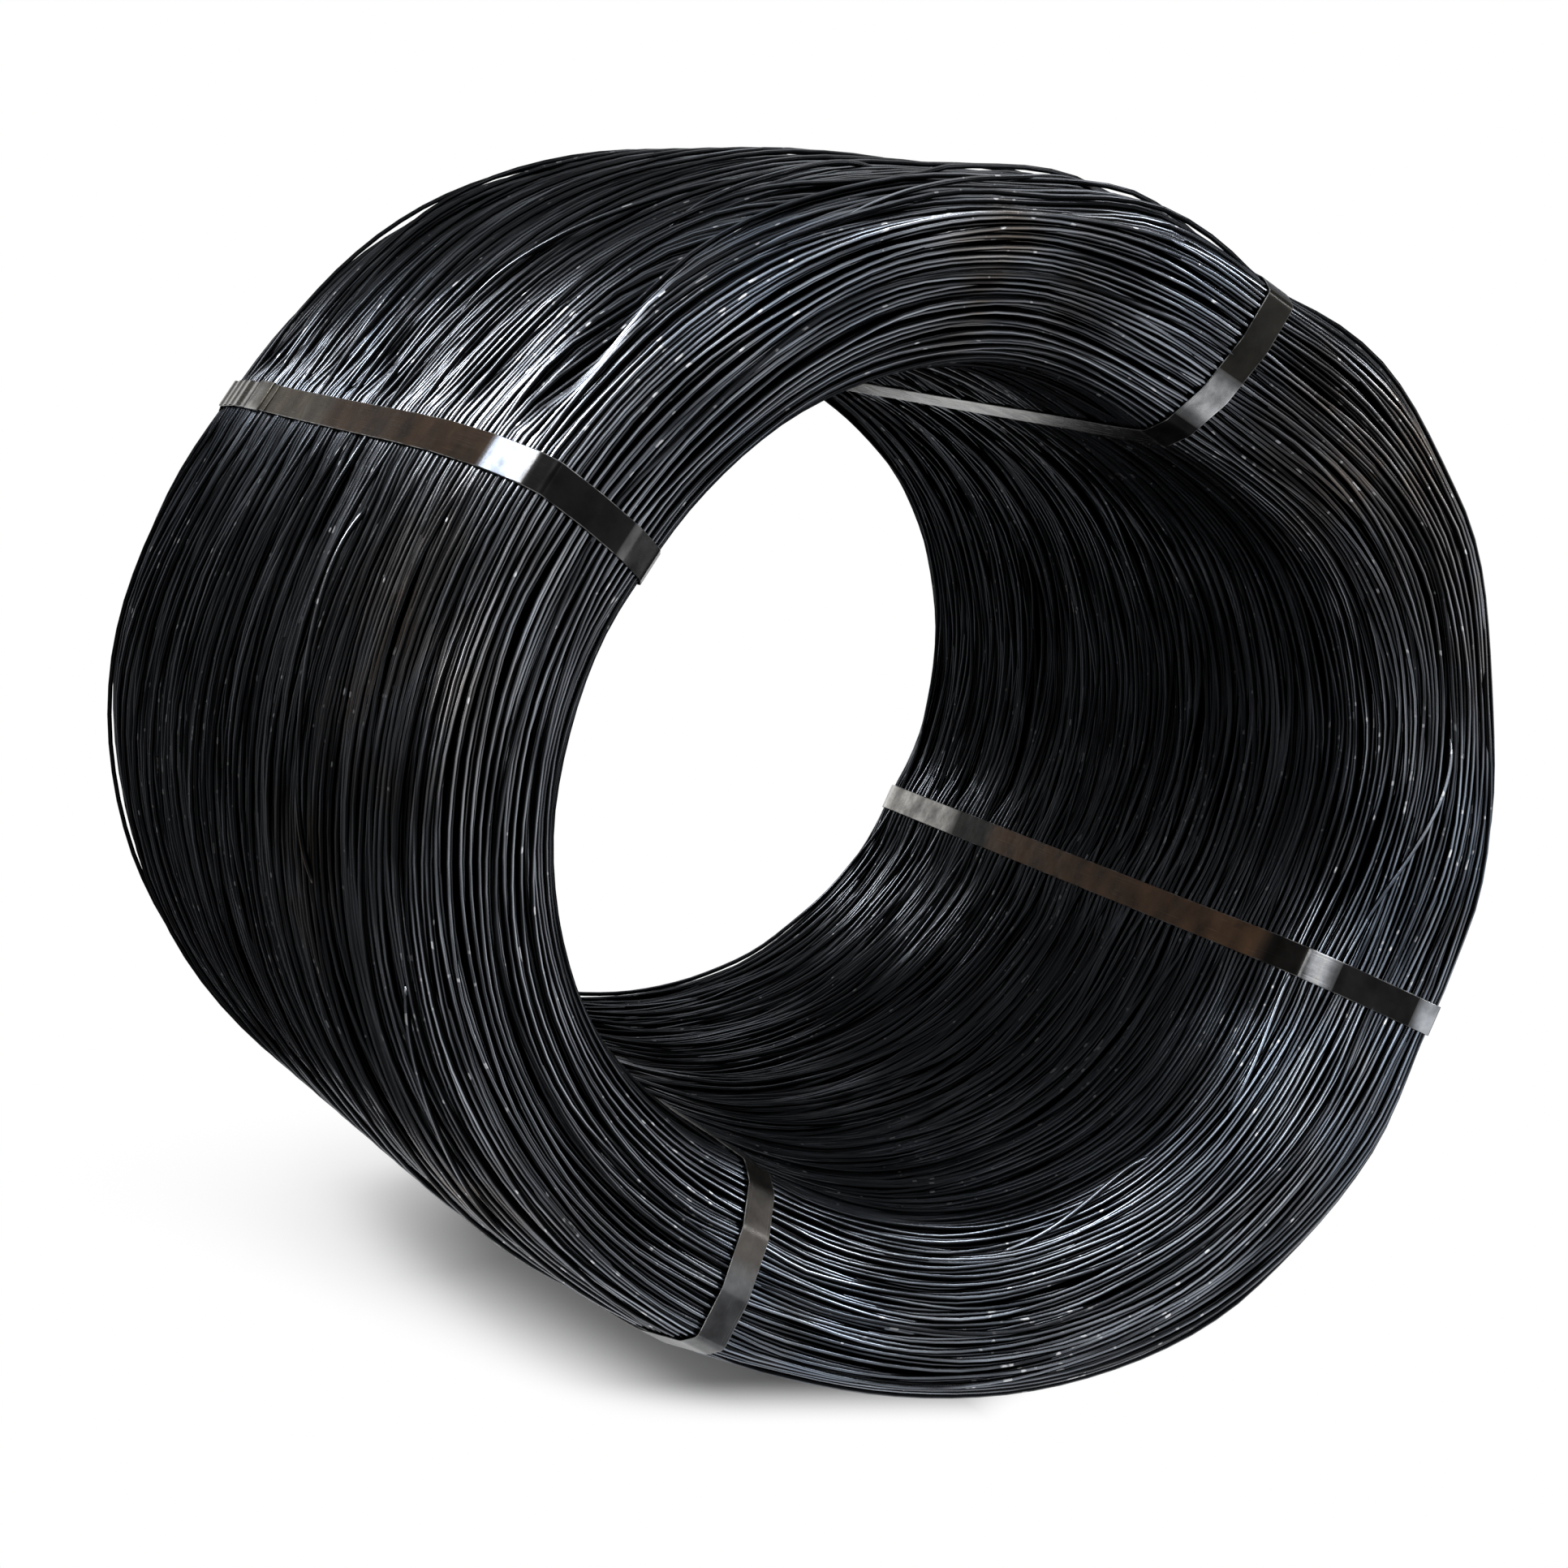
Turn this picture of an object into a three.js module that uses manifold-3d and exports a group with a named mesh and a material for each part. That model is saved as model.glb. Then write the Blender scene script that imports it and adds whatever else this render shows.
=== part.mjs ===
// Coil of steel wire rod, lying on its side and held by four steel bands.
//
// Frame: millimetres, +Z up. The coil's axis runs along Y and its bore is open at both ends. The origin is
// on the floor, straight below the axis and half way along it. A clock angle is counted about the axis from
// straight up, clockwise as seen from the -Y end.

import * as THREE from 'three';
import * as BufferGeometryUtils from 'three/addons/utils/BufferGeometryUtils.js';
import Module from 'manifold-3d';

const wasm = await Module();
wasm.setup();

// ---- Driving dimensions -----------------------------------------------------------------------------------

const ROD_DIAMETER = 5.5;

// Axial section of the wound wall, half way between two bands.
const OUTER_RADIUS = 625;
const BORE_RADIUS = 428;
const CROWN_SHARE = 0.72; // an end reaches furthest here: 0 is at the bore, 1 at the barrel
const COIL_LENGTH = 1037; // crown to crown
const OUTER_SHOULDER = 202; // how far an end's rounding reaches along the barrel
const INNER_SHOULDER = 92; // how far it reaches into the bore
const SHOULDER_POWER = 1.75; // 2 is an ellipse, less is a fuller slope

// Turns that stand proud on the ends: one ridge to every few rods.
const RODS_PER_RIDGE = 3;
const RIDGE_DEPTH = 0.5 * ROD_DIAMETER;

// On the barrel and in the bore the turns lie in bundles, with a furrow between each two.
const BUNDLE_WIDTH = 86;
const FURROW_DEPTH = ROD_DIAMETER;
const FURROW_LIP = 0.22; // from a furrow's bottom to each of its lips, as a share of a bundle's width

// The bands draw the wall in where they cross it.
const DRAWN_IN_OUTSIDE = 22;
const DRAWN_IN_CROWN = 8;
const DRAWN_IN_BORE = 19; // the bore's wall moves towards the axis with the rest
const DRAWN_IN_END = 24; // at each end
const DRAWN_SHOULDER = 33; // the outer rounding reaches this much further along the barrel
const DRAW_POWER = 2.8; // more keeps the pull closer to the band

// Lying on its side, the coil sags and leans out of round.
const SAG = 8; // the radius gains this at each side and loses it above and below
const FLOOR_SAG = 9; // and loses this besides where it lies
const FLOOR_CLOCK_ANGLE = 180;
const TAPER = 11; // the outer radius gains this at the +Y end and loses it at the -Y end
const RACKING = 9; // each end is this far out of round, along its own diagonal

const BAND_CLOCK_ANGLES = [306.5, 30, 117.3, 215.5];
const BAND_WIDTH = 32;
const BAND_THICKNESS = 1;
const BAND_CLEARANCE = 0.3; // between a band and the turns under it
const BAND_SEAT_MARGIN = 3; // flat of the coil on each side of a band

// Crimped seals, over each band's joint.
const SEAL_LENGTH = 50;
const SEAL_SHEET = 1.2;
const SEAL_CLEARANCE = 0.3; // to the band inside it and the turns under it
const SEAL_TO_SHOULDER = 4; // along the barrel, before the +Y end's rounding
const CRIMP_RADIUS = 5;
const CRIMP_SPACING = 26;

// Facets.
const TURN_STEP = 10; // widest facet round the axis, in degrees
const ARC_SAMPLES = 400; // fine samples along an end, before it is spaced out evenly

const ROD_STEEL = { color: 0x1c1f24, roughness: 0.4, metalness: 0.9 };
const BAND_STEEL = { color: 0x57504a, roughness: 0.35, metalness: 0.9 };
const SEAL_STEEL = { color: 0x8a8783, roughness: 0.35, metalness: 0.9 };

const radians = THREE.MathUtils.degToRad;
const degrees = THREE.MathUtils.radToDeg;

// ---- Axial section ----------------------------------------------------------------------------------------
// Points of the section are Vector2(radius, place along the axis).

// A point of the +Y end's outline, where the bands draw the wall in by a pull of 0 to 1. Share 0 is where the
// rounding leaves the barrel, 1 is the crown and 2 is where it meets the bore. Each half is a quarter of a
// superellipse.
function endPoint(share, pull) {
  const outer = OUTER_RADIUS - pull * DRAWN_IN_OUTSIDE;
  const bore = BORE_RADIUS - pull * DRAWN_IN_BORE;
  const crown = THREE.MathUtils.lerp(BORE_RADIUS, OUTER_RADIUS, CROWN_SHARE) - pull * DRAWN_IN_CROWN;
  const onBarrelSide = share < 1;
  const side = onBarrelSide ? outer : bore;
  const reach = onBarrelSide ? OUTER_SHOULDER + pull * DRAWN_SHOULDER : INNER_SHOULDER;
  const angle = (Math.PI / 2) * (onBarrelSide ? share : 2 - share);
  const exponent = 2 / SHOULDER_POWER;
  const across = Math.max(0, Math.cos(angle)) ** exponent;
  const along = Math.max(0, Math.sin(angle)) ** exponent;
  const end = COIL_LENGTH / 2 - pull * DRAWN_IN_END;
  return new THREE.Vector2(crown + (side - crown) * across, end - reach * (1 - along));
}

// Shares that are evenly spaced along the outline, one for the top of each ridge.
function ridgeShares() {
  const lengths = [0];
  for (let i = 1; i <= ARC_SAMPLES; i += 1) {
    const before = endPoint((2 * (i - 1)) / ARC_SAMPLES, 0);
    lengths.push(lengths[i - 1] + endPoint((2 * i) / ARC_SAMPLES, 0).distanceTo(before));
  }
  const total = lengths[ARC_SAMPLES];
  const ridges = Math.round(total / (RODS_PER_RIDGE * ROD_DIAMETER));
  const shares = [];
  let sample = 1;
  for (let i = 0; i <= ridges; i += 1) {
    const target = (total * i) / ridges;
    while (sample < ARC_SAMPLES && lengths[sample] < target) sample += 1;
    const part = (target - lengths[sample - 1]) / (lengths[sample] - lengths[sample - 1]);
    shares.push((2 * (sample - 1 + part)) / ARC_SAMPLES);
  }
  return shares;
}

const RIDGE_SHARES = ridgeShares();

// 1 under a band, falling to 0 half way to the next one.
function drawIn(clockAngle) {
  const bands = [...BAND_CLOCK_ANGLES].sort((a, b) => a - b);
  const turned = THREE.MathUtils.euclideanModulo(clockAngle - bands[0], 360) + bands[0];
  const before = bands.filter((band) => band <= turned).pop();
  const after = bands.find((band) => band > turned) ?? bands[0] + 360;
  return Math.abs(Math.cos((Math.PI * (turned - before)) / (after - before))) ** DRAW_POWER;
}

// How far the wall lies outside its round, level shape. The barrel stays straight where it lies on the floor.
function outOfRound(point, clockAngle) {
  const turn = radians(clockAngle - FLOOR_CLOCK_ANGLE);
  const lying = Math.max(0, Math.cos(turn)) ** 6;
  const lean = (TAPER * point.x) / OUTER_RADIUS + RACKING * Math.sin(2 * turn);
  const towardsEnd = point.y / (COIL_LENGTH / 2);
  return lean * towardsEnd * (1 - lying) - SAG * Math.cos(2 * turn) - FLOOR_SAG * lying;
}

// The wall's closed section at a clock angle: the ridge tops of both ends, joined by the barrel and the bore,
// counter-clockwise with the radius to the right.
function ridgeTops(clockAngle) {
  const pull = drawIn(clockAngle);
  const end = RIDGE_SHARES.map((share) => endPoint(share, pull));
  const otherEnd = end.map((point) => new THREE.Vector2(point.x, -point.y)).reverse();
  const tops = [...end, ...otherEnd];
  return tops.map((point) => new THREE.Vector2(point.x + outOfRound(point, clockAngle), point.y));
}

// A point on the way from one ridge top to the next, sunk into the wall.
function sunkPoint(top, next, share, depth) {
  const run = next.clone().sub(top).normalize();
  const intoWall = new THREE.Vector2(-run.y, run.x);
  return top.clone().lerp(next, share).addScaledVector(intoWall, depth);
}

// Bundles on the barrel or in the bore. Share is the endPoint share where that run starts.
function bundlesFrom(share) {
  return Math.max(1, Math.round((2 * endPoint(share, 0).y) / BUNDLE_WIDTH));
}

// The lips and bottoms of the furrows that part a number of bundles.
function furrowPoints(top, next, bundles) {
  const points = [];
  for (let i = 1; i < bundles; i += 1) {
    points.push(sunkPoint(top, next, (i - FURROW_LIP) / bundles, 0));
    points.push(sunkPoint(top, next, i / bundles, FURROW_DEPTH));
    points.push(sunkPoint(top, next, (i + FURROW_LIP) / bundles, 0));
  }
  return points;
}

// The same section with a groove between each two ridge tops of an end, and with the furrows.
function groovedSection(clockAngle) {
  const tops = ridgeTops(clockAngle);
  const lastOfEnd = RIDGE_SHARES.length - 1;
  const lastOfAll = tops.length - 1;
  return tops.flatMap((top, i) => {
    const next = tops[(i + 1) % tops.length];
    if (i === lastOfEnd) return [top, ...furrowPoints(top, next, bundlesFrom(2))];
    if (i === lastOfAll) return [top, ...furrowPoints(top, next, bundlesFrom(0))];
    return [top, sunkPoint(top, next, 0.5, RIDGE_DEPTH)];
  });
}

// ---- The coil ---------------------------------------------------------------------------------------------

// Half the turn taken by the flat that a band lies on; the bore's flat is the narrower one.
const SEAT_HALF_TURN = degrees(
  Math.asin((BAND_WIDTH / 2 + BAND_SEAT_MARGIN) / (BORE_RADIUS - DRAWN_IN_BORE)),
);

// The coil's facet edges, in order round the axis. Each has its place, the angle whose section it takes, and
// how far that section is stretched outwards. The two edges of a flat share the section at its middle, so the
// flat is square to the radius there: one under each band, and one on the floor.
function facetEdges() {
  const flats = BAND_CLOCK_ANGLES.map((middle) => ({ middle, half: SEAT_HALF_TURN }));
  flats.push({ middle: FLOOR_CLOCK_ANGLE, half: TURN_STEP / 2 });
  flats.sort((a, b) => a.middle - b.middle);
  const edges = [];
  flats.forEach((flat, i) => {
    const stretch = 1 / Math.cos(radians(flat.half));
    edges.push({ place: flat.middle - flat.half, sectionAt: flat.middle, stretch });
    edges.push({ place: flat.middle + flat.half, sectionAt: flat.middle, stretch });
    const next = flats[(i + 1) % flats.length];
    const start = flat.middle + flat.half;
    const end = next.middle - next.half + (i === flats.length - 1 ? 360 : 0);
    const steps = Math.ceil((end - start) / TURN_STEP);
    for (let k = 1; k < steps; k += 1) {
      const place = start + ((end - start) * k) / steps;
      edges.push({ place, sectionAt: place, stretch: 1 });
    }
  });
  return edges;
}

// A lathed ring whose columns are moved to the section that belongs at each facet edge.
function coilGeometry() {
  const edges = facetEdges();
  const sections = edges.map((edge) => {
    const section = groovedSection(edge.sectionAt);
    return [...section, section[0]];
  });
  const rows = sections[0].length;
  const geometry = new THREE.LatheGeometry(sections[0], edges.length);
  const position = geometry.attributes.position;
  for (let i = 0; i < position.count; i += 1) {
    const column = Math.floor(i / rows) % edges.length;
    const point = sections[column][i % rows];
    const radius = point.x * edges[column].stretch;
    const turn = radians(edges[column].place);
    position.setXYZ(i, radius * Math.sin(turn), point.y, radius * Math.cos(turn));
  }
  return geometry;
}

// ---- Bands and seals --------------------------------------------------------------------------------------

// A closed counter-clockwise outline moved outwards by a distance.
function offsetOutline(points, distance) {
  return points.map((point, i) => {
    const before = points[(i + points.length - 1) % points.length];
    const after = points[(i + 1) % points.length];
    const runIn = point.clone().sub(before).normalize();
    const runOut = after.clone().sub(point).normalize();
    const outwards = new THREE.Vector2(runIn.y + runOut.y, -runIn.x - runOut.x).normalize();
    const stretch = 1 / Math.sqrt((1 + runIn.dot(runOut)) / 2);
    return point.clone().addScaledVector(outwards, distance * stretch);
  });
}

function bandGeometry(clockAngle) {
  const seat = ridgeTops(clockAngle);
  const shape = new THREE.Shape(offsetOutline(seat, BAND_CLEARANCE + BAND_THICKNESS));
  shape.holes.push(new THREE.Path(offsetOutline(seat, BAND_CLEARANCE)));
  const geometry = new THREE.ExtrudeGeometry(shape, { depth: BAND_WIDTH, bevelEnabled: false });
  return geometry.translate(0, 0, -BAND_WIDTH / 2);
}

function toManifold(geometry) {
  const bare = geometry.clone();
  bare.deleteAttribute('normal');
  bare.deleteAttribute('uv');
  const merged = BufferGeometryUtils.mergeVertices(bare);
  const vertProperties = new Float32Array(merged.attributes.position.array);
  const triVerts = new Uint32Array(merged.index.array);
  return new wasm.Manifold(new wasm.Mesh({ numProp: 3, vertProperties, triVerts }));
}

function fromManifold(solid) {
  const mesh = solid.getMesh();
  const geometry = new THREE.BufferGeometry();
  geometry.setAttribute('position', new THREE.BufferAttribute(mesh.vertProperties, 3));
  geometry.setIndex(new THREE.BufferAttribute(mesh.triVerts, 1));
  return geometry;
}

// A sheet channel over a band, with two pairs of crimps bitten out of its edges. X is the height above the
// turns, Y runs along the band and Z across it.
function sealGeometry() {
  const foot = SEAL_CLEARANCE;
  const underside = BAND_CLEARANCE + BAND_THICKNESS + SEAL_CLEARANCE;
  const top = underside + SEAL_SHEET;
  const innerHalf = BAND_WIDTH / 2 + SEAL_CLEARANCE;
  const outerHalf = innerHalf + SEAL_SHEET;
  const channel = new THREE.Shape([
    new THREE.Vector2(foot, -outerHalf),
    new THREE.Vector2(top, -outerHalf),
    new THREE.Vector2(top, outerHalf),
    new THREE.Vector2(foot, outerHalf),
    new THREE.Vector2(foot, innerHalf),
    new THREE.Vector2(underside, innerHalf),
    new THREE.Vector2(underside, -innerHalf),
    new THREE.Vector2(foot, -innerHalf),
  ]);
  const body = new THREE.ExtrudeGeometry(channel, { depth: SEAL_LENGTH, bevelEnabled: false });
  body.translate(0, 0, -SEAL_LENGTH / 2).rotateX(-Math.PI / 2);
  let solid = toManifold(body);
  for (const side of [-1, 1]) {
    for (const end of [-1, 1]) {
      const bite = new THREE.CylinderGeometry(CRIMP_RADIUS, CRIMP_RADIUS, 2 * (top - foot), 12);
      bite.rotateZ(Math.PI / 2);
      bite.translate((top + foot) / 2, (end * CRIMP_SPACING) / 2, side * (outerHalf + CRIMP_RADIUS / 2));
      solid = solid.subtract(toManifold(bite));
    }
  }
  return fromManifold(solid);
}

// Lays a seal on the barrel, just before the +Y end's rounding and along the barrel's own slope.
function layOnBarrel(mesh, clockAngle) {
  const tops = ridgeTops(clockAngle);
  const [shoulder, otherShoulder] = [tops[0], tops[tops.length - 1]];
  const run = otherShoulder.clone().sub(shoulder).normalize();
  const middle = shoulder.clone().addScaledVector(run, SEAL_TO_SHOULDER + SEAL_LENGTH / 2);
  mesh.position.set(middle.x, middle.y, 0);
  mesh.rotation.z = Math.atan2(run.x, -run.y);
}

// ---- Assembly ---------------------------------------------------------------------------------------------

function namedMesh(name, geometry, finish) {
  const mesh = new THREE.Mesh(geometry, new THREE.MeshStandardMaterial(finish));
  mesh.name = name;
  return mesh;
}

const lyingCoil = new THREE.Group();
lyingCoil.position.z = ridgeTops(FLOOR_CLOCK_ANGLE)[0].x;
lyingCoil.add(namedMesh('rod_coil', coilGeometry(), ROD_STEEL));

BAND_CLOCK_ANGLES.forEach((clockAngle, i) => {
  const place = new THREE.Group();
  place.rotation.y = radians(clockAngle) - Math.PI / 2;
  place.add(namedMesh(`strap_${i + 1}`, bandGeometry(clockAngle), BAND_STEEL));
  const seal = namedMesh(`seal_${i + 1}`, sealGeometry(), SEAL_STEEL);
  layOnBarrel(seal, clockAngle);
  place.add(seal);
  lyingCoil.add(place);
});

const part = new THREE.Group();
part.add(lyingCoil);

export default part;
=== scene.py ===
"""Coil of hot-rolled steel wire rod, lying on its side and held by four steel bands.

Lengths are in metres. The coil's axis runs along Y, and its near end faces -Y. A clock angle is counted
about the axis from straight up, in degrees, clockwise as seen from the near end. The wall's section is
followed by its lay: 0 is at the far end's crown, and it grows over the barrel to the near end's crown,
through the bore and back to 1. A stage follows it too, from 0 to 8: the near end's crown is at 4, and each
side of an end's rounding, each half of the barrel and each half of the bore is 1 long.
"""

import math
from functools import partial

import bpy
import numpy as np
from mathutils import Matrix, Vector


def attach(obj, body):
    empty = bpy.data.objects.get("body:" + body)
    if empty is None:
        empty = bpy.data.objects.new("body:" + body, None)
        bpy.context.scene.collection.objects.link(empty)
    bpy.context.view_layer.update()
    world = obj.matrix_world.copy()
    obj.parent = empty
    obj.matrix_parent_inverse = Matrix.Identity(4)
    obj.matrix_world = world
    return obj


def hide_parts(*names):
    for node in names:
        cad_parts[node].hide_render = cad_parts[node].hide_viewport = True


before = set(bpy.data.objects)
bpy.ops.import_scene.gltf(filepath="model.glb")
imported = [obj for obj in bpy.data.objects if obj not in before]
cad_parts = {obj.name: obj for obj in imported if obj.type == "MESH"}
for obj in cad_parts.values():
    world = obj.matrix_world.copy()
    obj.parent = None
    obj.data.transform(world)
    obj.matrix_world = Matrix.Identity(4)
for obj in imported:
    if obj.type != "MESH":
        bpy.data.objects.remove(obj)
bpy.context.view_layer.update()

bl_info = {
    "name": "Coil of wire rod",
    "version": (1, 0, 0),
    "blender": (4, 5, 0),
    "location": "3D View > Sidebar > Wire rod",
    "description": "Winds a coil of steel wire rod, bands it and lights it",
    "category": "Add Mesh",
}

MM = 0.001
BODY = "root"

# ---- The wall that the turns lie in: the same section and sag as the solid model's ------------------------

SHOULDER_POWER = 1.75
CROWN_SHARE = 0.72
DRAWN_IN_OUTSIDE = 22 * MM
DRAWN_IN_CROWN = 8 * MM
DRAWN_IN_BORE = 19 * MM
DRAWN_IN_END = 24 * MM
DRAWN_SHOULDER = 33 * MM
DRAW_POWER = 2.8
SAG = 8 * MM
FLOOR_SAG = 9 * MM
FLOOR_CLOCK = 180.0
LYING_POWER = 6
TAPER = 11 * MM
RACKING = 9 * MM

BAND_CLOCKS = (306.5, 30.0, 117.3, 215.5)

# Once round the section, in steps fine enough to measure along it.
STAGES = np.linspace(0, 8, 4001)

length = partial(bpy.props.FloatProperty, unit="LENGTH")


class CoilSizes(bpy.types.PropertyGroup):
    """Sizes of the coil, its rod and its bands."""

    rod_diameter: length(name="Rod diameter", description="Diameter of the hot-rolled rod", default=5.5 * MM)
    outer_radius: length(
        name="Outer radius", description="Radius of the barrel between two bands", default=0.625
    )
    bore_radius: length(name="Bore radius", description="Radius of the bore between two bands", default=0.428)
    coil_length: length(
        name="Coil length", description="From the crown of one end to the other", default=1.037
    )
    outer_shoulder: length(
        name="Outer shoulder", description="How far the ends' rounding reaches along the barrel",
        default=0.202,
    )
    inner_shoulder: length(
        name="Inner shoulder", description="How far the ends' rounding reaches into the bore",
        default=0.092,
    )
    band_width: length(name="Band width", description="Width of the steel strip", default=32 * MM)
    band_thickness: length(name="Band thickness", description="Thickness of the steel strip", default=1 * MM)


class CoilLay(bpy.types.PropertyGroup):
    """How loosely the turns lie."""

    turns: bpy.props.IntProperty(
        name="Turns", description="Turns that show, in three layers all round the section",
        default=720, min=100,
    )
    depth: length(
        name="Depth", description="How deep a turn may dive under its neighbours", default=12 * MM
    )
    drift: length(name="Drift", description="How far whole bundles wander along the wall", default=22 * MM)
    bunch: length(name="Bunch", description="How far turns gather into bundles", default=15 * MM)
    stray: length(name="Stray", description="How far a single turn strays across the others", default=37 * MM)
    loose_turns: bpy.props.IntProperty(
        name="Loose turns", description="Turns that lie loose across the others", default=30, min=0
    )
    loose_stray: length(
        name="Loose stray", description="How far a loose turn strays across the others", default=0.06
    )
    seed: bpy.props.IntProperty(name="Seed", description="Another number gives another lay", default=7)


def linear(hex_colour):
    """An sRGB hex colour as linear red, green, blue and alpha."""
    channels = [int(hex_colour[i : i + 2], 16) / 255 for i in (1, 3, 5)]
    return [c / 12.92 if c <= 0.04045 else ((c + 0.055) / 1.055) ** 2.4 for c in channels] + [1.0]


def add(tree, family, kind, inputs=(), **settings):
    """Adds a node. Each input, in order or by key, gets a value, a socket or another node's first output."""
    node = tree.nodes.new(family + kind)
    for name, value in settings.items():
        setattr(node, name, value)
    for key, value in inputs.items() if isinstance(inputs, dict) else enumerate(inputs):
        if isinstance(value, bpy.types.Node):
            value = value.outputs[0]
        if isinstance(value, bpy.types.NodeSocket):
            tree.links.new(value, node.inputs[key])
        else:
            node.inputs[key].default_value = value
    return node


def linked(name, mesh):
    """Puts a mesh in the scene as an object."""
    made = bpy.data.objects.new(name, mesh)
    bpy.context.scene.collection.objects.link(made)
    return made


def new_object(name, points, faces):
    mesh = bpy.data.meshes.new(name)
    mesh.from_pydata(points, [], faces)
    return linked(name, mesh)


def store(mesh, name, values, kind="FLOAT", field="value"):
    """Gives the points of a mesh an attribute."""
    layer = mesh.attributes.new(name, kind, "POINT")
    layer.data.foreach_set(field, np.asarray(values, dtype=np.float32).reshape(-1))


def quads(rows, columns, rows_close=True, columns_close=True):
    """Faces between the neighbours in a grid of points, which may close on itself both ways."""
    index = np.arange(rows * columns).reshape(rows, columns)
    after, beside = np.roll(index, -1, axis=0), np.roll(index, -1, axis=1)
    faces = np.stack([index, after, np.roll(after, -1, axis=1), beside], axis=-1)
    last_row, last_column = rows - (not rows_close), columns - (not columns_close)
    return faces[:last_row, :last_column].reshape(-1, 4)


def stand_in(piece, node):
    """Ties a finished piece to the solid whose place it takes."""
    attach(piece, BODY)
    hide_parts(node)


def unit(vectors):
    return vectors / np.linalg.norm(vectors, axis=-1, keepdims=True)


def eased(share):
    """0 to 1 for a share of 0 to 1, level at both ends."""
    return share * share * (3 - 2 * share)


def run_along(radius, along):
    """Distance from the first point of an outline to each of its points."""
    return np.concatenate([[0], np.cumsum(np.hypot(np.diff(radius), np.diff(along)))])


def sizes():
    return bpy.context.scene.coil_sizes


# ---- Shape of the wall ------------------------------------------------------------------------------------


def drawn_in(clock):
    """1 under a band, falling to 0 half way to the next one."""
    bands = np.sort(BAND_CLOCKS)
    turned = np.mod(clock - bands[0], 360) + bands[0]
    ring = np.append(bands, bands[0] + 360)
    before = np.clip(np.searchsorted(ring, turned, side="right") - 1, 0, len(bands) - 1)
    share = (turned - ring[before]) / (ring[before + 1] - ring[before])
    return np.abs(np.cos(np.pi * share)) ** DRAW_POWER


def end_point(share, pull):
    """Radius and place along the axis on an end's outline: share 0 on the barrel, 1 crown, 2 in the bore."""
    s = sizes()
    outer = s.outer_radius - pull * DRAWN_IN_OUTSIDE
    bore = s.bore_radius - pull * DRAWN_IN_BORE
    crown = s.bore_radius + (s.outer_radius - s.bore_radius) * CROWN_SHARE - pull * DRAWN_IN_CROWN
    on_barrel_side = share < 1
    side = np.where(on_barrel_side, outer, bore)
    reach = np.where(on_barrel_side, s.outer_shoulder + pull * DRAWN_SHOULDER, s.inner_shoulder)
    angle = np.pi / 2 * np.where(on_barrel_side, share, 2 - share)
    across = np.maximum(0, np.cos(angle)) ** (2 / SHOULDER_POWER)
    along = np.sin(angle) ** (2 / SHOULDER_POWER)
    end = s.coil_length / 2 - pull * DRAWN_IN_END
    return crown + (side - crown) * across, end - reach * (1 - along)


def section_point(stage, pull):
    """Radius and place along the axis at each stage."""
    from_near = np.abs(stage - 4)
    near_half = from_near < 2
    outside = stage < 4
    # Counted from the crown of the end in question: 0 to 1 over its rounding, 1 to 2 along barrel or bore.
    from_crown = np.where(near_half, from_near, 4 - from_near)
    rounding = np.clip(from_crown, 0, 1)
    share = np.where(outside, 1 - rounding, 1 + rounding)
    radius, along = end_point(share, pull)
    along = along * (1 - np.clip(from_crown - 1, 0, 1))
    return radius, np.where(near_half, -along, along)


def out_of_round(radius, along, clock):
    """How far the wall lies outside its round, level shape."""
    s = sizes()
    turn = np.radians(clock - FLOOR_CLOCK)
    lying = np.maximum(0, np.cos(turn)) ** LYING_POWER
    lean = TAPER * radius / s.outer_radius + RACKING * np.sin(2 * turn)
    leaning = lean * along / (s.coil_length / 2) * (1 - lying)
    return leaning - SAG * np.cos(2 * turn) - FLOOR_SAG * lying


def axis_height():
    """The barrel stands on the floor."""
    radius, along = end_point(np.array(0.0), drawn_in(np.array(FLOOR_CLOCK)))
    return float(radius + out_of_round(radius, along, FLOOR_CLOCK))


def stages_of(lay):
    """The stage at each lay. Equal steps of lay are equal lengths of the section half way between bands."""
    run = run_along(*section_point(STAGES, 0.0))
    return np.interp(np.mod(lay, 1), run / run[-1], STAGES)


def girth():
    """Length of the section's outline."""
    return float(run_along(*section_point(STAGES, 0.0))[-1])


def wall_point(stage, clock):
    """Points of the wall, as an array of x, y, z."""
    radius, along = section_point(stage, drawn_in(clock))
    radius = radius + out_of_round(radius, along, clock)
    turn = np.radians(clock)
    return np.stack([radius * np.sin(turn), along, radius * np.cos(turn) + axis_height()], axis=-1)


# ---- The lay surface: where the turns lie, as a grid that they are wound on --------------------------------

# The grid's UV map holds lay and clock angle, drawn smaller so that it also covers a margin past 0 and 1.
MARGIN = 0.1
UV_SCALE = 1 - 2 * MARGIN
LAY_COLUMNS = 360
CLOCK_ROWS = 216

# A dark valley parts the near end's bundle from the barrel's between the first two bands. It runs from and to
# these clock angles and places along the axis, and stays this far out from the bore.
VALLEY_CLOCKS = (318.0, 354.0)
VALLEY_ALONG = (-0.430, -0.355)
VALLEY_HALF_WIDTHS = (17 * MM, 26 * MM)
VALLEY_DEPTH = 13 * MM
VALLEY_SOFT = 9.0
VALLEY_FROM_BORE = 0.1

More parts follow.
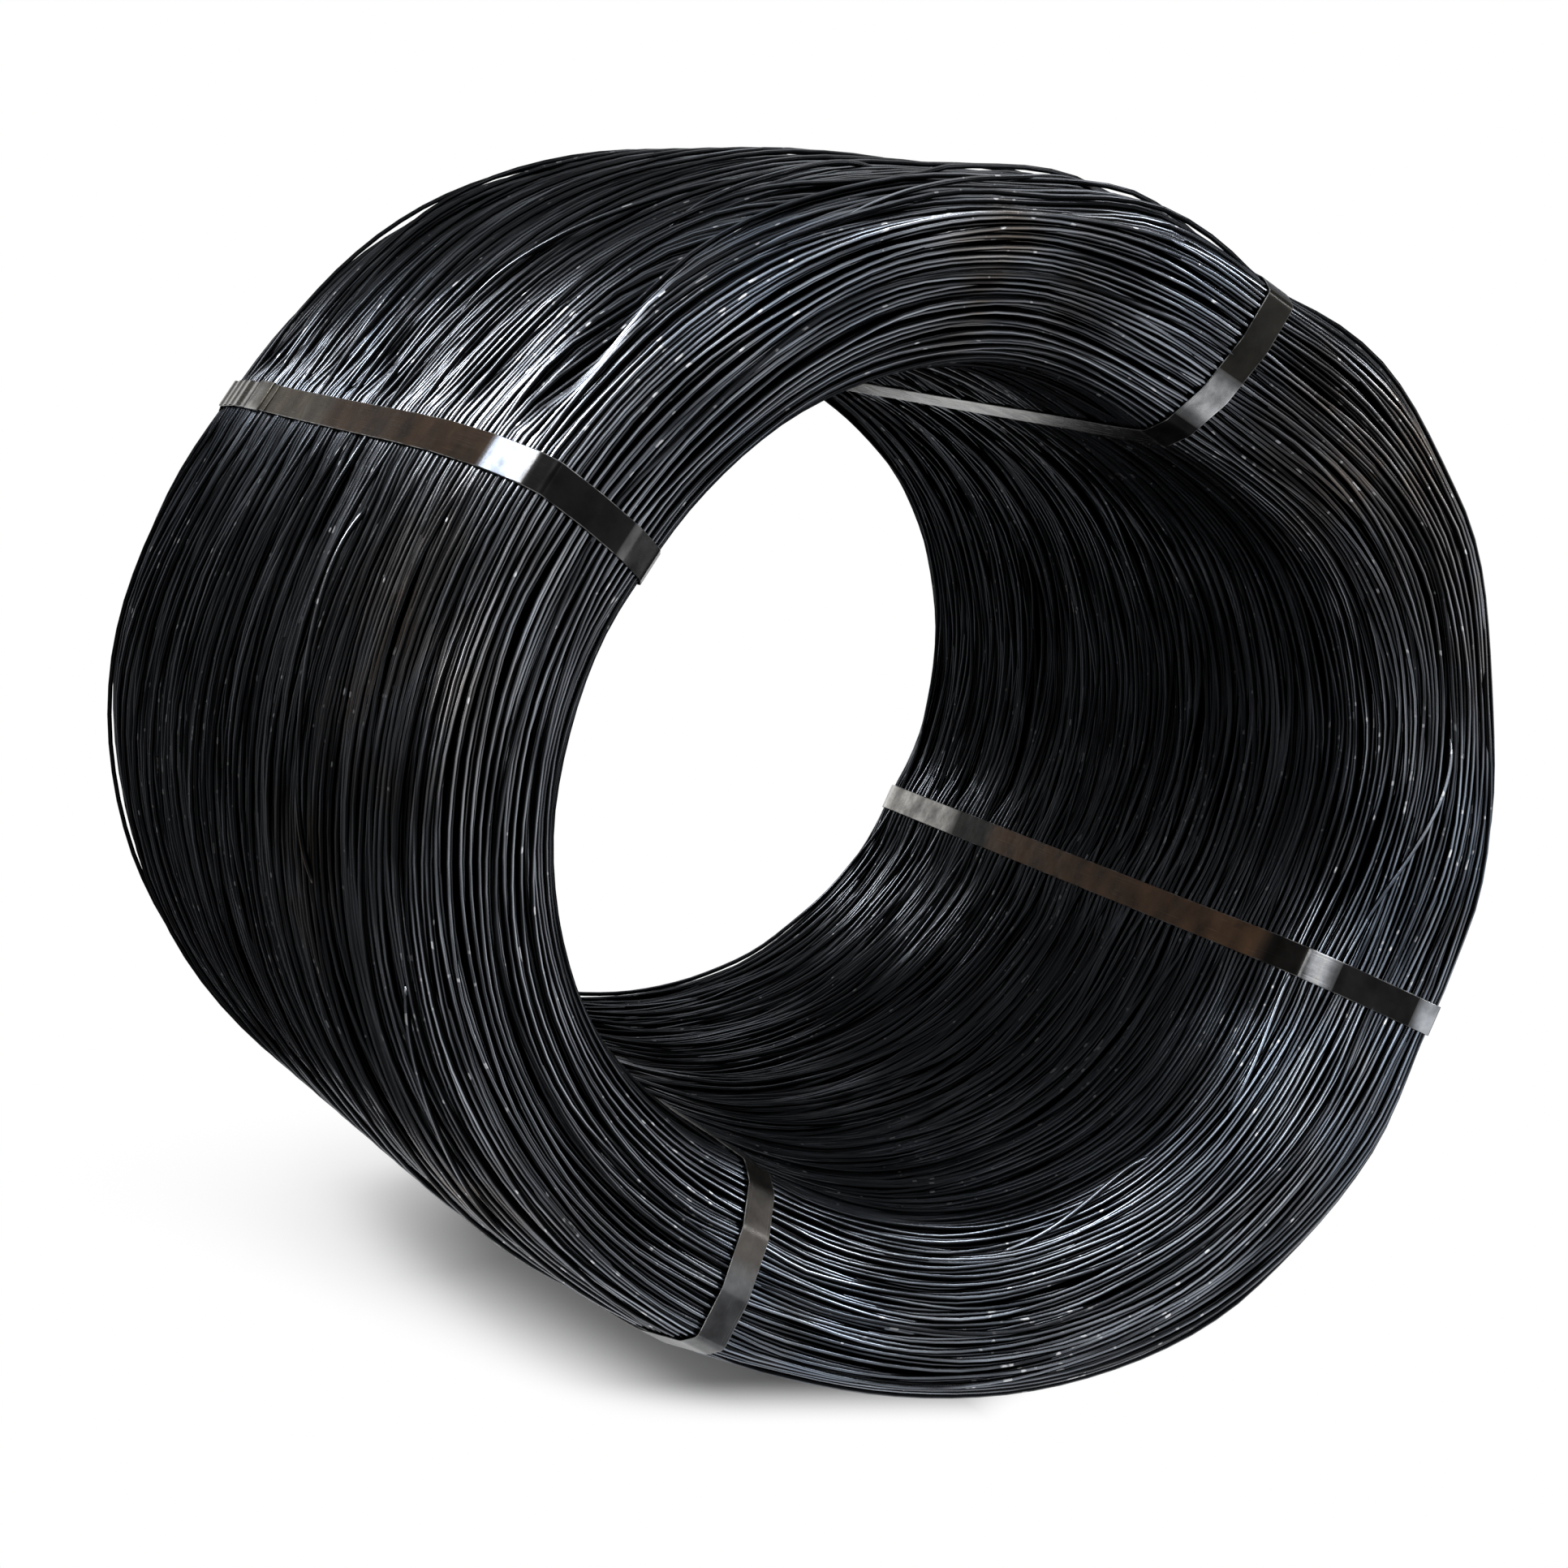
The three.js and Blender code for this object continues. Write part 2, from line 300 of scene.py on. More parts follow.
# The near shoulder isn't round: clock angles, and how far the rods stand out there or fall in. At a band they
# do neither.
NEAR_SWELL = (
    (0, -14 * MM), (17, 10 * MM), (43, 12 * MM), (61, -5 * MM), (82, -22 * MM), (108, 4 * MM), (130, 12 * MM),
    (152, 6 * MM), (190, -12 * MM), (225, 0), (320, 0), (348, -13 * MM), (360, -14 * MM),
)
NEAR_SWELL_STAGES = (2.8, 4.2)
NEAR_SWELL_SOFT = 0.7
SWELL_FROM_BAND = 7.0

# Furrows part the bundles on the barrel and in the bore. They fade in and out round the coil.
BUNDLE_WIDTH = 86 * MM
FURROW_LIP = 0.22
FURROW_SHIFT = 1.9

# How uneasy the turns lie, from 0 to 1: anywhere, and how much more at the top, on the left and in the bore.
# They lie calmer on the near end.
UNREST = 0.62
UNREST_TOP = 0.5
UNREST_LEFT = 0.2
UNREST_BORE = 0.1
NEAR_END_CALM = 0.35
# Those parts of the wall: from, to and how softly they begin and end, in clock angles and in stages.
TOP_CLOCKS = (-48.0, 20.0, 14.0)
LEFT_CLOCKS = (225.0, 312.0, 14.0)
BARREL_STAGES = (0.6, 3.6, 0.5)
BORE_STAGES = (5.0, 7.4, 0.4)
NEAR_END_STAGES = (3.3, 5.2, 0.5)

# How tightly a band holds the turns under it, and the angle from it where that has faded.
HELD_MOST = 0.85
HELD_HALF_TURN = 6.0


def smooth_window(value, start, end, soft):
    """1 between start and end, falling smoothly to 0 over the distance soft on each side."""
    rise = np.clip((value - start) / soft + 1, 0, 1)
    fall = np.clip((end - value) / soft + 1, 0, 1)
    return eased(np.minimum(rise, fall))


def valley_depth(points, clock):
    """How far the valley between the near bundle and the barrel's sinks into the wall."""
    share = np.clip((clock - VALLEY_CLOCKS[0]) / (VALLEY_CLOCKS[1] - VALLEY_CLOCKS[0]), 0, 1)
    middle = VALLEY_ALONG[0] + (VALLEY_ALONG[1] - VALLEY_ALONG[0]) * share
    narrow, wide = VALLEY_HALF_WIDTHS
    across = (points[..., 1] - middle) / (narrow + (wide - narrow) * share**2)
    radius = np.hypot(points[..., 0], points[..., 2] - axis_height())
    outside = radius > sizes().bore_radius + VALLEY_FROM_BORE
    return VALLEY_DEPTH * np.exp(-(across**2)) * smooth_window(clock, *VALLEY_CLOCKS, VALLEY_SOFT) * outside


def from_nearest_band(clock):
    """Degrees from a clock angle to the nearest band."""
    return np.min([np.abs(np.mod(clock - band + 180, 360) - 180) for band in BAND_CLOCKS], axis=0)


def near_swell(stage, clock):
    """How far the rods stand out on the near shoulder, eased from one clock angle of the list to the next."""
    clocks, heights = np.array(NEAR_SWELL).T
    place = np.interp(clock, clocks, np.arange(len(clocks)))
    place = np.floor(place) + eased(place - np.floor(place))
    height = np.interp(place, np.arange(len(clocks)), heights)
    free = 1 - np.exp(-((from_nearest_band(clock) / SWELL_FROM_BAND) ** 2))
    return height * free * smooth_window(stage, *NEAR_SWELL_STAGES, NEAR_SWELL_SOFT)


def furrow_depth(stage, clock):
    """How far the furrows sink into the wall: a rod at most, as they do in the solid model."""
    depth = np.zeros_like(stage)
    for start, share in ((1, 0.0), (5, 2.0)):
        _, end = end_point(np.array(share), 0.0)
        bundles = round(float(2 * end) / BUNDLE_WIDTH)
        bundle = (stage - start) / 2 * bundles
        inside = (bundle > 0.5) & (bundle < bundles - 0.5)
        slope = np.clip(1 - np.abs(bundle - np.round(bundle)) / FURROW_LIP, 0, 1)
        wander = 0.6 + 0.4 * np.sin(np.radians(2 * clock) + FURROW_SHIFT * np.round(bundle) + start)
        depth += inside * wander * eased(slope) * sizes().rod_diameter
    return depth


def lay_points(lay, clock):
    """The uneven wall as a grid over lays and clock angles, and its outward directions."""
    stage, angle = np.meshgrid(stages_of(lay), clock, indexing="ij")
    points = wall_point(stage, angle)
    outwards = unit(np.cross(np.gradient(points, axis=0), np.gradient(points, axis=1)))
    round_clock = np.mod(angle, 360)
    sunk = valley_depth(points, round_clock) + furrow_depth(stage, angle) - near_swell(stage, round_clock)
    return points - outwards * sunk[..., None], outwards


def make_lay_surface():
    """A grid over the wall. Each point has its outward direction, how tightly it is held, and its unrest."""
    lay = (np.linspace(0, 1, LAY_COLUMNS + 1) - MARGIN) / UV_SCALE
    clock = (np.linspace(0, 1, CLOCK_ROWS + 1) - MARGIN) / UV_SCALE * 360
    points, outwards = lay_points(lay, clock)
    stage, angle = np.meshgrid(stages_of(lay), clock, indexing="ij")
    held = HELD_MOST * np.exp(-((from_nearest_band(angle) / HELD_HALF_TURN) ** 2))
    top_side = smooth_window(np.mod(angle + 90, 360) - 90, *TOP_CLOCKS)
    left_side = smooth_window(np.mod(angle, 360), *LEFT_CLOCKS)
    on_barrel = smooth_window(stage, *BARREL_STAGES)
    in_bore = smooth_window(stage, *BORE_STAGES)
    unrest = UNREST + UNREST_TOP * top_side * on_barrel + UNREST_LEFT * left_side * on_barrel
    unrest = np.clip(unrest + UNREST_BORE * in_bore, 0, 1)
    unrest = unrest * (1 - NEAR_END_CALM * smooth_window(stage, *NEAR_END_STAGES))
    nature = np.stack([held, unrest, np.zeros_like(held)], axis=-1)

    columns, rows = stage.shape
    index = np.arange(columns * rows)
    faces = quads(columns, rows, rows_close=False, columns_close=False)
    surface = new_object("lay_surface", points.reshape(-1, 3).tolist(), faces.tolist())
    mesh = surface.data
    for name, value in (("outwards", outwards), ("nature", nature)):
        store(mesh, name, value, "FLOAT_VECTOR", "vector")
    uv = np.stack([index // rows / (columns - 1), index % rows / (rows - 1)], axis=-1)
    corner = np.empty(len(mesh.loops), dtype=np.int32)
    mesh.loops.foreach_get("vertex_index", corner)
    layer = mesh.uv_layers.new(name="lay")
    layer.data.foreach_set("uv", uv[corner].reshape(-1).astype(np.float32))
    return surface


# ---- Winding: Geometry Nodes lay one closed turn of rod after another on the lay surface -------------------

TURN_STEPS = 120
ROD_SIDES = 5
# Noises that neighbouring turns share: how fast they change round the axis and the section, and their seeds.
DRIFT_NOISE = (1.1, 2.6, 3.0)
BUNCH_NOISE = (1.7, 11.0, 17.0)
HOLLOW_NOISE = (1.9, 6.0, 29.0)
# Noises that each turn has to itself: how fast they change round the axis, and their seeds. The last number
# sets two turns so far apart in the noise that theirs are unlike.
STRAY_NOISE = (2.9, 5.0)
MIXING_NOISE = (1.9, 9.0)
TURN_APART = 7.31
# How much deeper a turn lies in a hollow of the lay, as a share of the depth, and how deep the uppermost ones
# lie, in rod diameters.
HOLLOW_SHARE = 0.45
UPPERMOST = 0.55


def winding_tree():
    """The node group that winds turns First to Last of all the Turns on the mesh that it is given."""
    tree = bpy.data.node_groups.new("Wound turns", "GeometryNodeTree")
    face = tree.interface
    face.new_socket("Lay surface", in_out="INPUT", socket_type="NodeSocketGeometry")
    for name in ("Turns", "First", "Last", "Steps", "Sides", "Seed"):
        face.new_socket(name, in_out="INPUT", socket_type="NodeSocketInt")
    for name in ("Rod diameter", "Girth", "Depth", "Drift", "Bunch", "Stray", "Lift"):
        face.new_socket(name, in_out="INPUT", socket_type="NodeSocketFloat")
    face.new_socket("Finish", in_out="INPUT", socket_type="NodeSocketMaterial")
    face.new_socket("Turns", in_out="OUTPUT", socket_type="NodeSocketGeometry")
    node, geometry = partial(add, tree, "ShaderNode"), partial(add, tree, "GeometryNode")
    given = add(tree, "NodeGroup", "Input").outputs

    # One ring of points for each turn. Where they lie comes further down.
    count = node("Math", [given["Last"], given["First"]], operation="SUBTRACT")
    seeds = geometry("Points", {"Count": count})
    ring = geometry("CurvePrimitiveCircle", {"Resolution": given["Steps"], "Radius": 1.0})
    rings = geometry("InstanceOnPoints", {"Points": seeds, "Instance": ring})
    rings = geometry("RealizeInstances", {"Geometry": rings})

    # Which turn a point is on, and how far round it is.
    place = geometry("CurveOfPoint").outputs
    turn = node("Math", [place["Curve Index"], given["First"]], operation="ADD")
    clock = node("Math", [place["Index in Curve"], given["Steps"]], operation="DIVIDE")
    angle = node("Math", [clock, math.tau], operation="MULTIPLY")
    east, north = (node("Math", [angle], operation=side) for side in ("SINE", "COSINE"))

    # Its lay before it wanders.
    jitter = {2: 0.2, 3: 0.8, "ID": turn, "Seed": given["Seed"]}
    jitter = add(tree, "FunctionNode", "RandomValue", jitter).outputs[1]
    place_in_all = node("Math", [turn, jitter], operation="ADD")
    lay = node("Math", [place_in_all, given["Turns"]], operation="DIVIDE")
    fold = node("Math", [lay, math.tau], operation="MULTIPLY")
    fold_east, fold_north = (node("Math", [fold], operation=side) for side in ("SINE", "COSINE"))

    lay_map, nature, outwards = (
        geometry("InputNamedAttribute", {"Name": name}, data_type="FLOAT_VECTOR")
        for name in ("lay", "nature", "outwards")
    )

    def uv_of(lay_there):
        spot = node("CombineXYZ", [lay_there, clock])
        scale, start = (UV_SCALE, UV_SCALE, 0.0), (MARGIN, MARGIN, 0.0)
        return node("VectorMath", [spot, scale, start], operation="MULTIPLY_ADD")

    def sampled(value, uv):
        return geometry("SampleUVSurface", {
            "Mesh": given["Lay surface"], "Value": value, "UV Map": lay_map, "Sample UV": uv,
        }, data_type="FLOAT_VECTOR")

    held, unrest, _ = node("SeparateXYZ", [sampled(nature, uv_of(lay))]).outputs
    free = node("Math", [1.0, held], operation="SUBTRACT")

    def noise(around, third, fourth, detail):
        """-0.5 to 0.5. Round the axis it closes on itself."""
        spot = node("CombineXYZ", {
            0: node("Math", [east, around], operation="MULTIPLY"),
            1: node("Math", [north, around], operation="MULTIPLY"),
            2: third,
        })
        value = node("TexNoise", {"Vector": spot, "W": fourth, "Scale": 1.0, "Detail": detail},
                     noise_dimensions="4D")
        return node("Math", [value, 0.5], operation="SUBTRACT")

    def shared_noise(around, across, seed):
        """Alike on neighbouring turns. It closes on itself round the section too."""
        third = node("Math", [fold_north, across], operation="MULTIPLY")
        fourth = node("Math", [fold_east, across, seed], operation="MULTIPLY_ADD")
        return noise(around, third, fourth, 0.0)

    def own_noise(around, seed):
        """Different on each turn."""
        third = node("Math", [turn, TURN_APART], operation="MULTIPLY")
        return noise(around, third, seed, 0.6)

    # How far it wanders along the wall, in metres.
    drift = node("Math", [shared_noise(*DRIFT_NOISE), given["Drift"]], operation="MULTIPLY")
    bunch = shared_noise(*BUNCH_NOISE)
    for share in (given["Bunch"], free):
        bunch = node("Math", [bunch, share], operation="MULTIPLY")
    stray = own_noise(*STRAY_NOISE)
    for share in (given["Stray"], unrest, free):
        stray = node("Math", [stray, share], operation="MULTIPLY")
    away = node("Math", [drift, bunch], operation="ADD")
    away = node("Math", [away, stray], operation="ADD")
    away = node("Math", [away, given["Girth"]], operation="DIVIDE")
    lay_there = node("Math", [lay, away], operation="ADD")

    # How deep it lies: two of three turns are under ones, and where the lay is uneasy they change places.
    layer = node("Math", [turn, 3.0], operation="FLOORED_MODULO")
    layer = node("Math", [layer, 0.5], operation="MULTIPLY")
    mixing = node("MapRange", [own_noise(*MIXING_NOISE), -0.2, 0.2])
    uneasy = node("Math", [unrest, free], operation="MULTIPLY")
    under = node("Mix", {0: uneasy, 2: layer, 3: mixing}, data_type="FLOAT")
    hollow = node("MapRange", [shared_noise(*HOLLOW_NOISE), -0.2, 0.2])
    hollow = node("Math", [hollow, uneasy], operation="MULTIPLY")
    under = node("Math", [hollow, HOLLOW_SHARE, under], operation="MULTIPLY_ADD")
    # Where the lay is calm the layers lie closer together.
    pile = node("MapRange", [uneasy, 0.15, 0.6, 0.35, 1.0])
    pile = node("Math", [pile, given["Depth"]], operation="MULTIPLY")
    sunk = node("Math", [under, pile], operation="MULTIPLY")
    sunk = node("Math", [given["Rod diameter"], UPPERMOST, sunk], operation="MULTIPLY_ADD")
    lifted = node("Math", [given["Lift"], free], operation="MULTIPLY")
    height = node("Math", [lifted, sunk], operation="SUBTRACT")

    uv = uv_of(lay_there)
    on_wall = sampled(geometry("InputPosition"), uv)
    outwards = node("VectorMath", [sampled(outwards, uv)], operation="NORMALIZE")
    lift = node("VectorMath", {0: outwards, "Scale": height}, operation="SCALE")
    spot = node("VectorMath", [on_wall, lift], operation="ADD")
    half = node("Math", [given["Rod diameter"], 0.5], operation="MULTIPLY")
    # No rod goes below the floor.
    floor = node("CombineXYZ", [-9.0, -9.0, half])
    spot = node("VectorMath", [spot, floor], operation="MAXIMUM")
    laid = geometry("SetPosition", {"Geometry": rings, "Position": spot})

    # What the finish reads: the turn's number, how deep it lies, and which side of it faces out of the coil.
    for name, value in (("turn", turn), ("under", under)):
        laid = geometry("StoreNamedAttribute", {"Geometry": laid, "Name": name, "Value": value},
                        data_type="FLOAT", domain="POINT")
    profile = geometry("CurvePrimitiveCircle", {"Resolution": given["Sides"], "Radius": half})
    beside = node("Math", [geometry("InputIndex"), 1.0], operation="MINIMUM")
    crest = node("Math", [1.0, beside], operation="SUBTRACT")
    profile = geometry("StoreNamedAttribute", {"Geometry": profile, "Name": "crest", "Value": crest},
                       data_type="FLOAT", domain="POINT")
    laid = geometry("SetCurveNormal", {"Curve": laid, "Normal": outwards}, mode="FREE")
    rods = geometry("CurveToMesh", {"Curve": laid, "Profile Curve": profile})
    rods = geometry("SetShadeSmooth", {"Geometry": rods})
    rods = geometry("RealizeInstances", {"Geometry": rods})
    rods = geometry("SetMaterial", {"Geometry": rods, "Material": given["Finish"]})
    add(tree, "NodeGroup", "Output", [rods])
    return tree


def baked(source, name, tree, values):
    """Runs a node group on the source object and keeps the result as a plain mesh object."""
    modifier = source.modifiers.new(tree.name, "NODES")
    modifier.node_group = tree
    for item in tree.interface.items_tree:
        if item.in_out == "INPUT" and item.name in values:
            modifier[item.identifier] = values[item.name]
    depsgraph = bpy.context.evaluated_depsgraph_get()
    mesh = bpy.data.meshes.new_from_object(source.evaluated_get(depsgraph), depsgraph=depsgraph)
    source.modifiers.remove(modifier)
    mesh.name = name
    return linked(name, mesh)


# ---- Bands: strip pulled round the section, with a flat between one bend and the next ----------------------

# Places on a band are counted in metres along it from the far end's crown, over the barrel to the near end.
# A flat is shortened by a bend's reach at each end, and a bend takes no more than this share of it.
LONGEST_FLAT = 0.110
WIDEST_BEND = math.radians(34)
BEND_REACH = 4 * MM
BEND_SHARE = 0.3
FLAT_SHARES = (0.15, 0.4, 0.6, 0.85)
FLAT_SAMPLES = 25
BAND_LIFT = 0.3 * MM
BAND_BEVEL = 0.25 * MM
RIPPLE = 0.12 * MM
RIPPLE_STEP = 12 * MM
RIPPLE_SLOWER = 2.7

# The colour on stretches of each band: band, start, end. It is oxide with light painted on it: the palest
# stretches are painted highlights and the near-black ones painted dark reflections. Elsewhere it has the
# first colour.
BAND_OXIDE = "#5b5750"
BAND_OXIDE_AND_REFLECTIONS = (
    (0, 0.00, 0.24, "#77736c"), (0, 0.30, 0.50, "#3b352c"), (0, 0.50, 0.915, "#2e2116"),
    (0, 0.920, 0.975, "#747b87"), (0, 0.982, 1.109, "#131314"), (0, 1.109, 1.156, "#5c5c5d"),
    (0, 1.156, 1.45, "#101010"),
    (1, 0.94, 1.00, "#b4b7bb"), (1, 1.00, 1.10, "#1d1c19"), (1, 1.10, 1.14, "#c4c6c9"),
    (1, 1.14, 1.20, "#121212"), (1, 1.20, 2.10, "#7c7c7a"),
    (2, 0.93, 1.03, "#9a9da2"), (2, 1.03, 1.135, "#161617"), (2, 1.135, 1.157, "#eceff4"),
    (2, 1.155, 1.22, "#171615"), (2, 1.22, 1.76, "#523c2a"), (2, 1.76, 1.845, "#262624"),
    (2, 1.845, 2.15, "#c4c2be"),
    (3, 0.90, 1.08, "#57585a"), (3, 1.08, 1.16, "#3f3b37"), (3, 1.16, 1.30, "#1b1a19"),
)
STRETCH_SOFT = 12 * MM


def band_path(clock):
    """A band's path: places along it, radius and y of its underside there, and its outward directions."""
    radius, along = section_point(STAGES, drawn_in(np.full_like(STAGES, clock)))
    radius = radius + out_of_round(radius, along, clock)
    run = run_along(radius, along)
    # The flats are shorter where the section turns more.
    turning = np.unwrap(np.arctan2(np.gradient(along), np.gradient(radius)))
    pace = run / LONGEST_FLAT + np.abs(turning - turning[0]) / WIDEST_BEND
    bends = np.interp(np.linspace(0, pace[-1], round(pace[-1]) + 1), pace, run)
    count = len(bends) - 1
    dense = np.linspace(0, 1, FLAT_SAMPLES)[None, :] * np.diff(bends)[:, None] + bends[:-1, None]
    line = np.stack([np.interp(dense % run[-1], run, column) for column in (radius, along)], axis=-1)
    chord = line[:, -1] - line[:, 0]
    outwards = unit(np.stack([-chord[:, 1], chord[:, 0]], axis=-1))
    # A flat lies on the highest point under it, and so does each of its two bends.
    bulge = np.einsum("ijk,ik->ij", line - line[:, :1], outwards).max(axis=1)
    lift = np.maximum(bulge, np.roll(bulge, 1)) + BAND_LIFT
    corner = line[:, 0] + unit(outwards + np.roll(outwards, 1, axis=0)) * lift[:, None]

    points, places = [], []
    for i in range(count):
        here, after, before = corner[i], corner[(i + 1) % count], corner[i - 1]
        ahead, behind = np.linalg.norm(after - here), np.linalg.norm(before - here)
        reach_ahead = min(BEND_REACH / ahead, BEND_SHARE)
        reach_behind = min(BEND_REACH / behind, BEND_SHARE)
        leave = here + (after - here) * reach_ahead
        arrive = here + (before - here) * reach_behind
        points += [arrive, (arrive + leave) / 4 + here / 2, leave]
        places += [bends[i] - reach_behind * behind, bends[i], bends[i] + reach_ahead * ahead]
        end = after + (here - after) * reach_ahead
        for share in FLAT_SHARES:
            points.append(leave + (end - leave) * share)
            gone = np.linalg.norm(points[-1] - here) / ahead
            places.append(bends[i] + (bends[i + 1] - bends[i]) * gone)
    points = np.array(points)
    step = np.roll(points, -1, axis=0) - np.roll(points, 1, axis=0)
    return np.array(places), points, unit(np.stack([-step[:, 1], step[:, 0]], axis=-1))


def band_section(width, thickness):
    """The strip's section as places across it and heights, with its edges slightly rounded."""
    half, bevel = width / 2, BAND_BEVEL
    top = [(-half, thickness - bevel), (-half + bevel, thickness), (-half + 4 * bevel, thickness)]
    top += [(-half / 2, thickness), (0, thickness)]
    top += [(-across, height) for across, height in reversed(top[:-1])]
    return np.array(top + [(across, thickness - height) for across, height in reversed(top)])


def swept(name, path, section, clock, closed):
    """A strip of this section along a path in the plane of a clock angle, with its places as attributes."""
    places, line, outwards = path
    turn = math.radians(clock)
    radial = np.array([math.sin(turn), 0, math.cos(turn)])
    aside = np.array([math.cos(turn), 0, -math.sin(turn)])
    height = line[:, None, :] + outwards[:, None, :] * section[None, :, 1, None]
    points = height[..., :1] * radial + height[..., 1:] * np.array([0, 1, 0]) + section[None, :, :1] * aside
    points[..., 2] += axis_height()
    rows, columns = points.shape[:2]
    faces = quads(rows, columns, rows_close=closed).tolist()
    if not closed:
        last_row = range((rows - 1) * columns, rows * columns)
        faces += [list(range(columns)), list(reversed(last_row))]
    made = new_object(name, points.reshape(-1, 3).tolist(), faces)
    made.data.shade_smooth()
    store(made.data, "along", np.repeat(places, columns))
    store(made.data, "across", np.tile(section[:, 0], rows))
    return made


def oxide_and_reflections_on(mesh, band, places, columns):
    """Gives a band the colour of its oxide and of its painted highlights and dark reflections, stretch by
    stretch.
    """
    colour = np.tile(np.array(linear(BAND_OXIDE)), (len(places), 1))
    for which, start, end, shade in BAND_OXIDE_AND_REFLECTIONS:
        if which == band:
            share = smooth_window(places, start, end, STRETCH_SOFT)[:, None]
            colour = colour * (1 - share) + np.array(linear(shade)) * share
    store(mesh, "oxide_and_reflections", np.repeat(colour, columns, axis=0), "FLOAT_COLOR", "color")


# ---- Finishes ----------------------------------------------------------------------------------------------


def new_finish(name):
    """A material without nodes, and the function that adds a node to it."""
    material = bpy.data.materials.new(name)
    material.use_nodes = True
    material.node_tree.nodes.clear()
    return material, partial(add, material.node_tree, "ShaderNode")


# How coarse the finishes' patterns are, as spots to a metre. On the rod a stretch of one tone of the painted
# highlight is about 125 mm long, a brown or blue patch 70 mm wide, a worn area 140 mm wide, a bend 40 mm long
# and a nick 13 mm long.
# On the strip a cloud of smoke is 35 mm wide, a dent 30 mm and a rubbed piece of edge 17 mm long.
HIGHLIGHT_TONE_SCALE = 8.0
PATCH_SCALE = 14.0
WORN_SCALE = 7.0
BEND_SCALE = 26.0
NICK_SCALE = 75.0
CLOUD_SCALE = 28.0
DENT_SCALE = 35.0
EDGE_SCALE = 60.0

# Where the scale has browned or blued: clock angle, place along the axis, distance from the axis, and reach.
BROWN_SPOTS = (
    (289.0, -0.41, 0.61, 0.13), (270.0, -0.30, 0.62, 0.10), (358.0, -0.50, 0.50, 0.10),
    (49.0, -0.50, 0.52, 0.12), (75.0, -0.45, 0.60, 0.10), (240.0, -0.40, 0.60, 0.10),
)
BLUE_SPOTS = (
    (335.0, -0.46, 0.56, 0.16), (129.0, -0.46, 0.50, 0.18), (100.0, -0.46, 0.55, 0.14),
    (208.0, -0.46, 0.50, 0.12), (315.0, 0.10, 0.62, 0.16), (175.0, -0.35, 0.44, 0.16),
    (300.0, 0.35, 0.60, 0.12), (20.0, -0.46, 0.56, 0.12),
)


def spread(points, spots):
    """0 to 1 at each point: how near it is to the middle of one of the spots."""
    total = np.zeros(len(points))
    for clock, along, radius, reach in spots:
        turn = math.radians(clock)
        middle = (radius * math.sin(turn), along, radius * math.cos(turn) + axis_height())
        total += np.exp(-(np.linalg.norm(points - middle, axis=1) / reach) ** 2)
    return np.clip(total, 0, 1)


def colour_spots(mesh):
    """Gives a mesh the attributes that the rod's finish reads for its brown and blue parts."""
    points = np.empty(len(mesh.vertices) * 3, dtype=np.float32)
    mesh.vertices.foreach_get("co", points)
    points = points.reshape(-1, 3)
    for name, spots in (("browned", BROWN_SPOTS), ("blued", BLUE_SPOTS)):
        store(mesh, name, spread(points, spots))


ROD_FINISH = "Hot-rolled rod, mill scale"
# The painted highlight along a rod, which also stands for scale rubbed off there. Its crest value is 1 on its
# outermost side and 0 a fifth of a turn away: these are the values where the line ends and where it is full.
CREST_EDGE = 0.36
CREST_FULL = 0.95
# How far apart in the finish's noise two turns lie, in metres.
FINISH_APART = 0.61


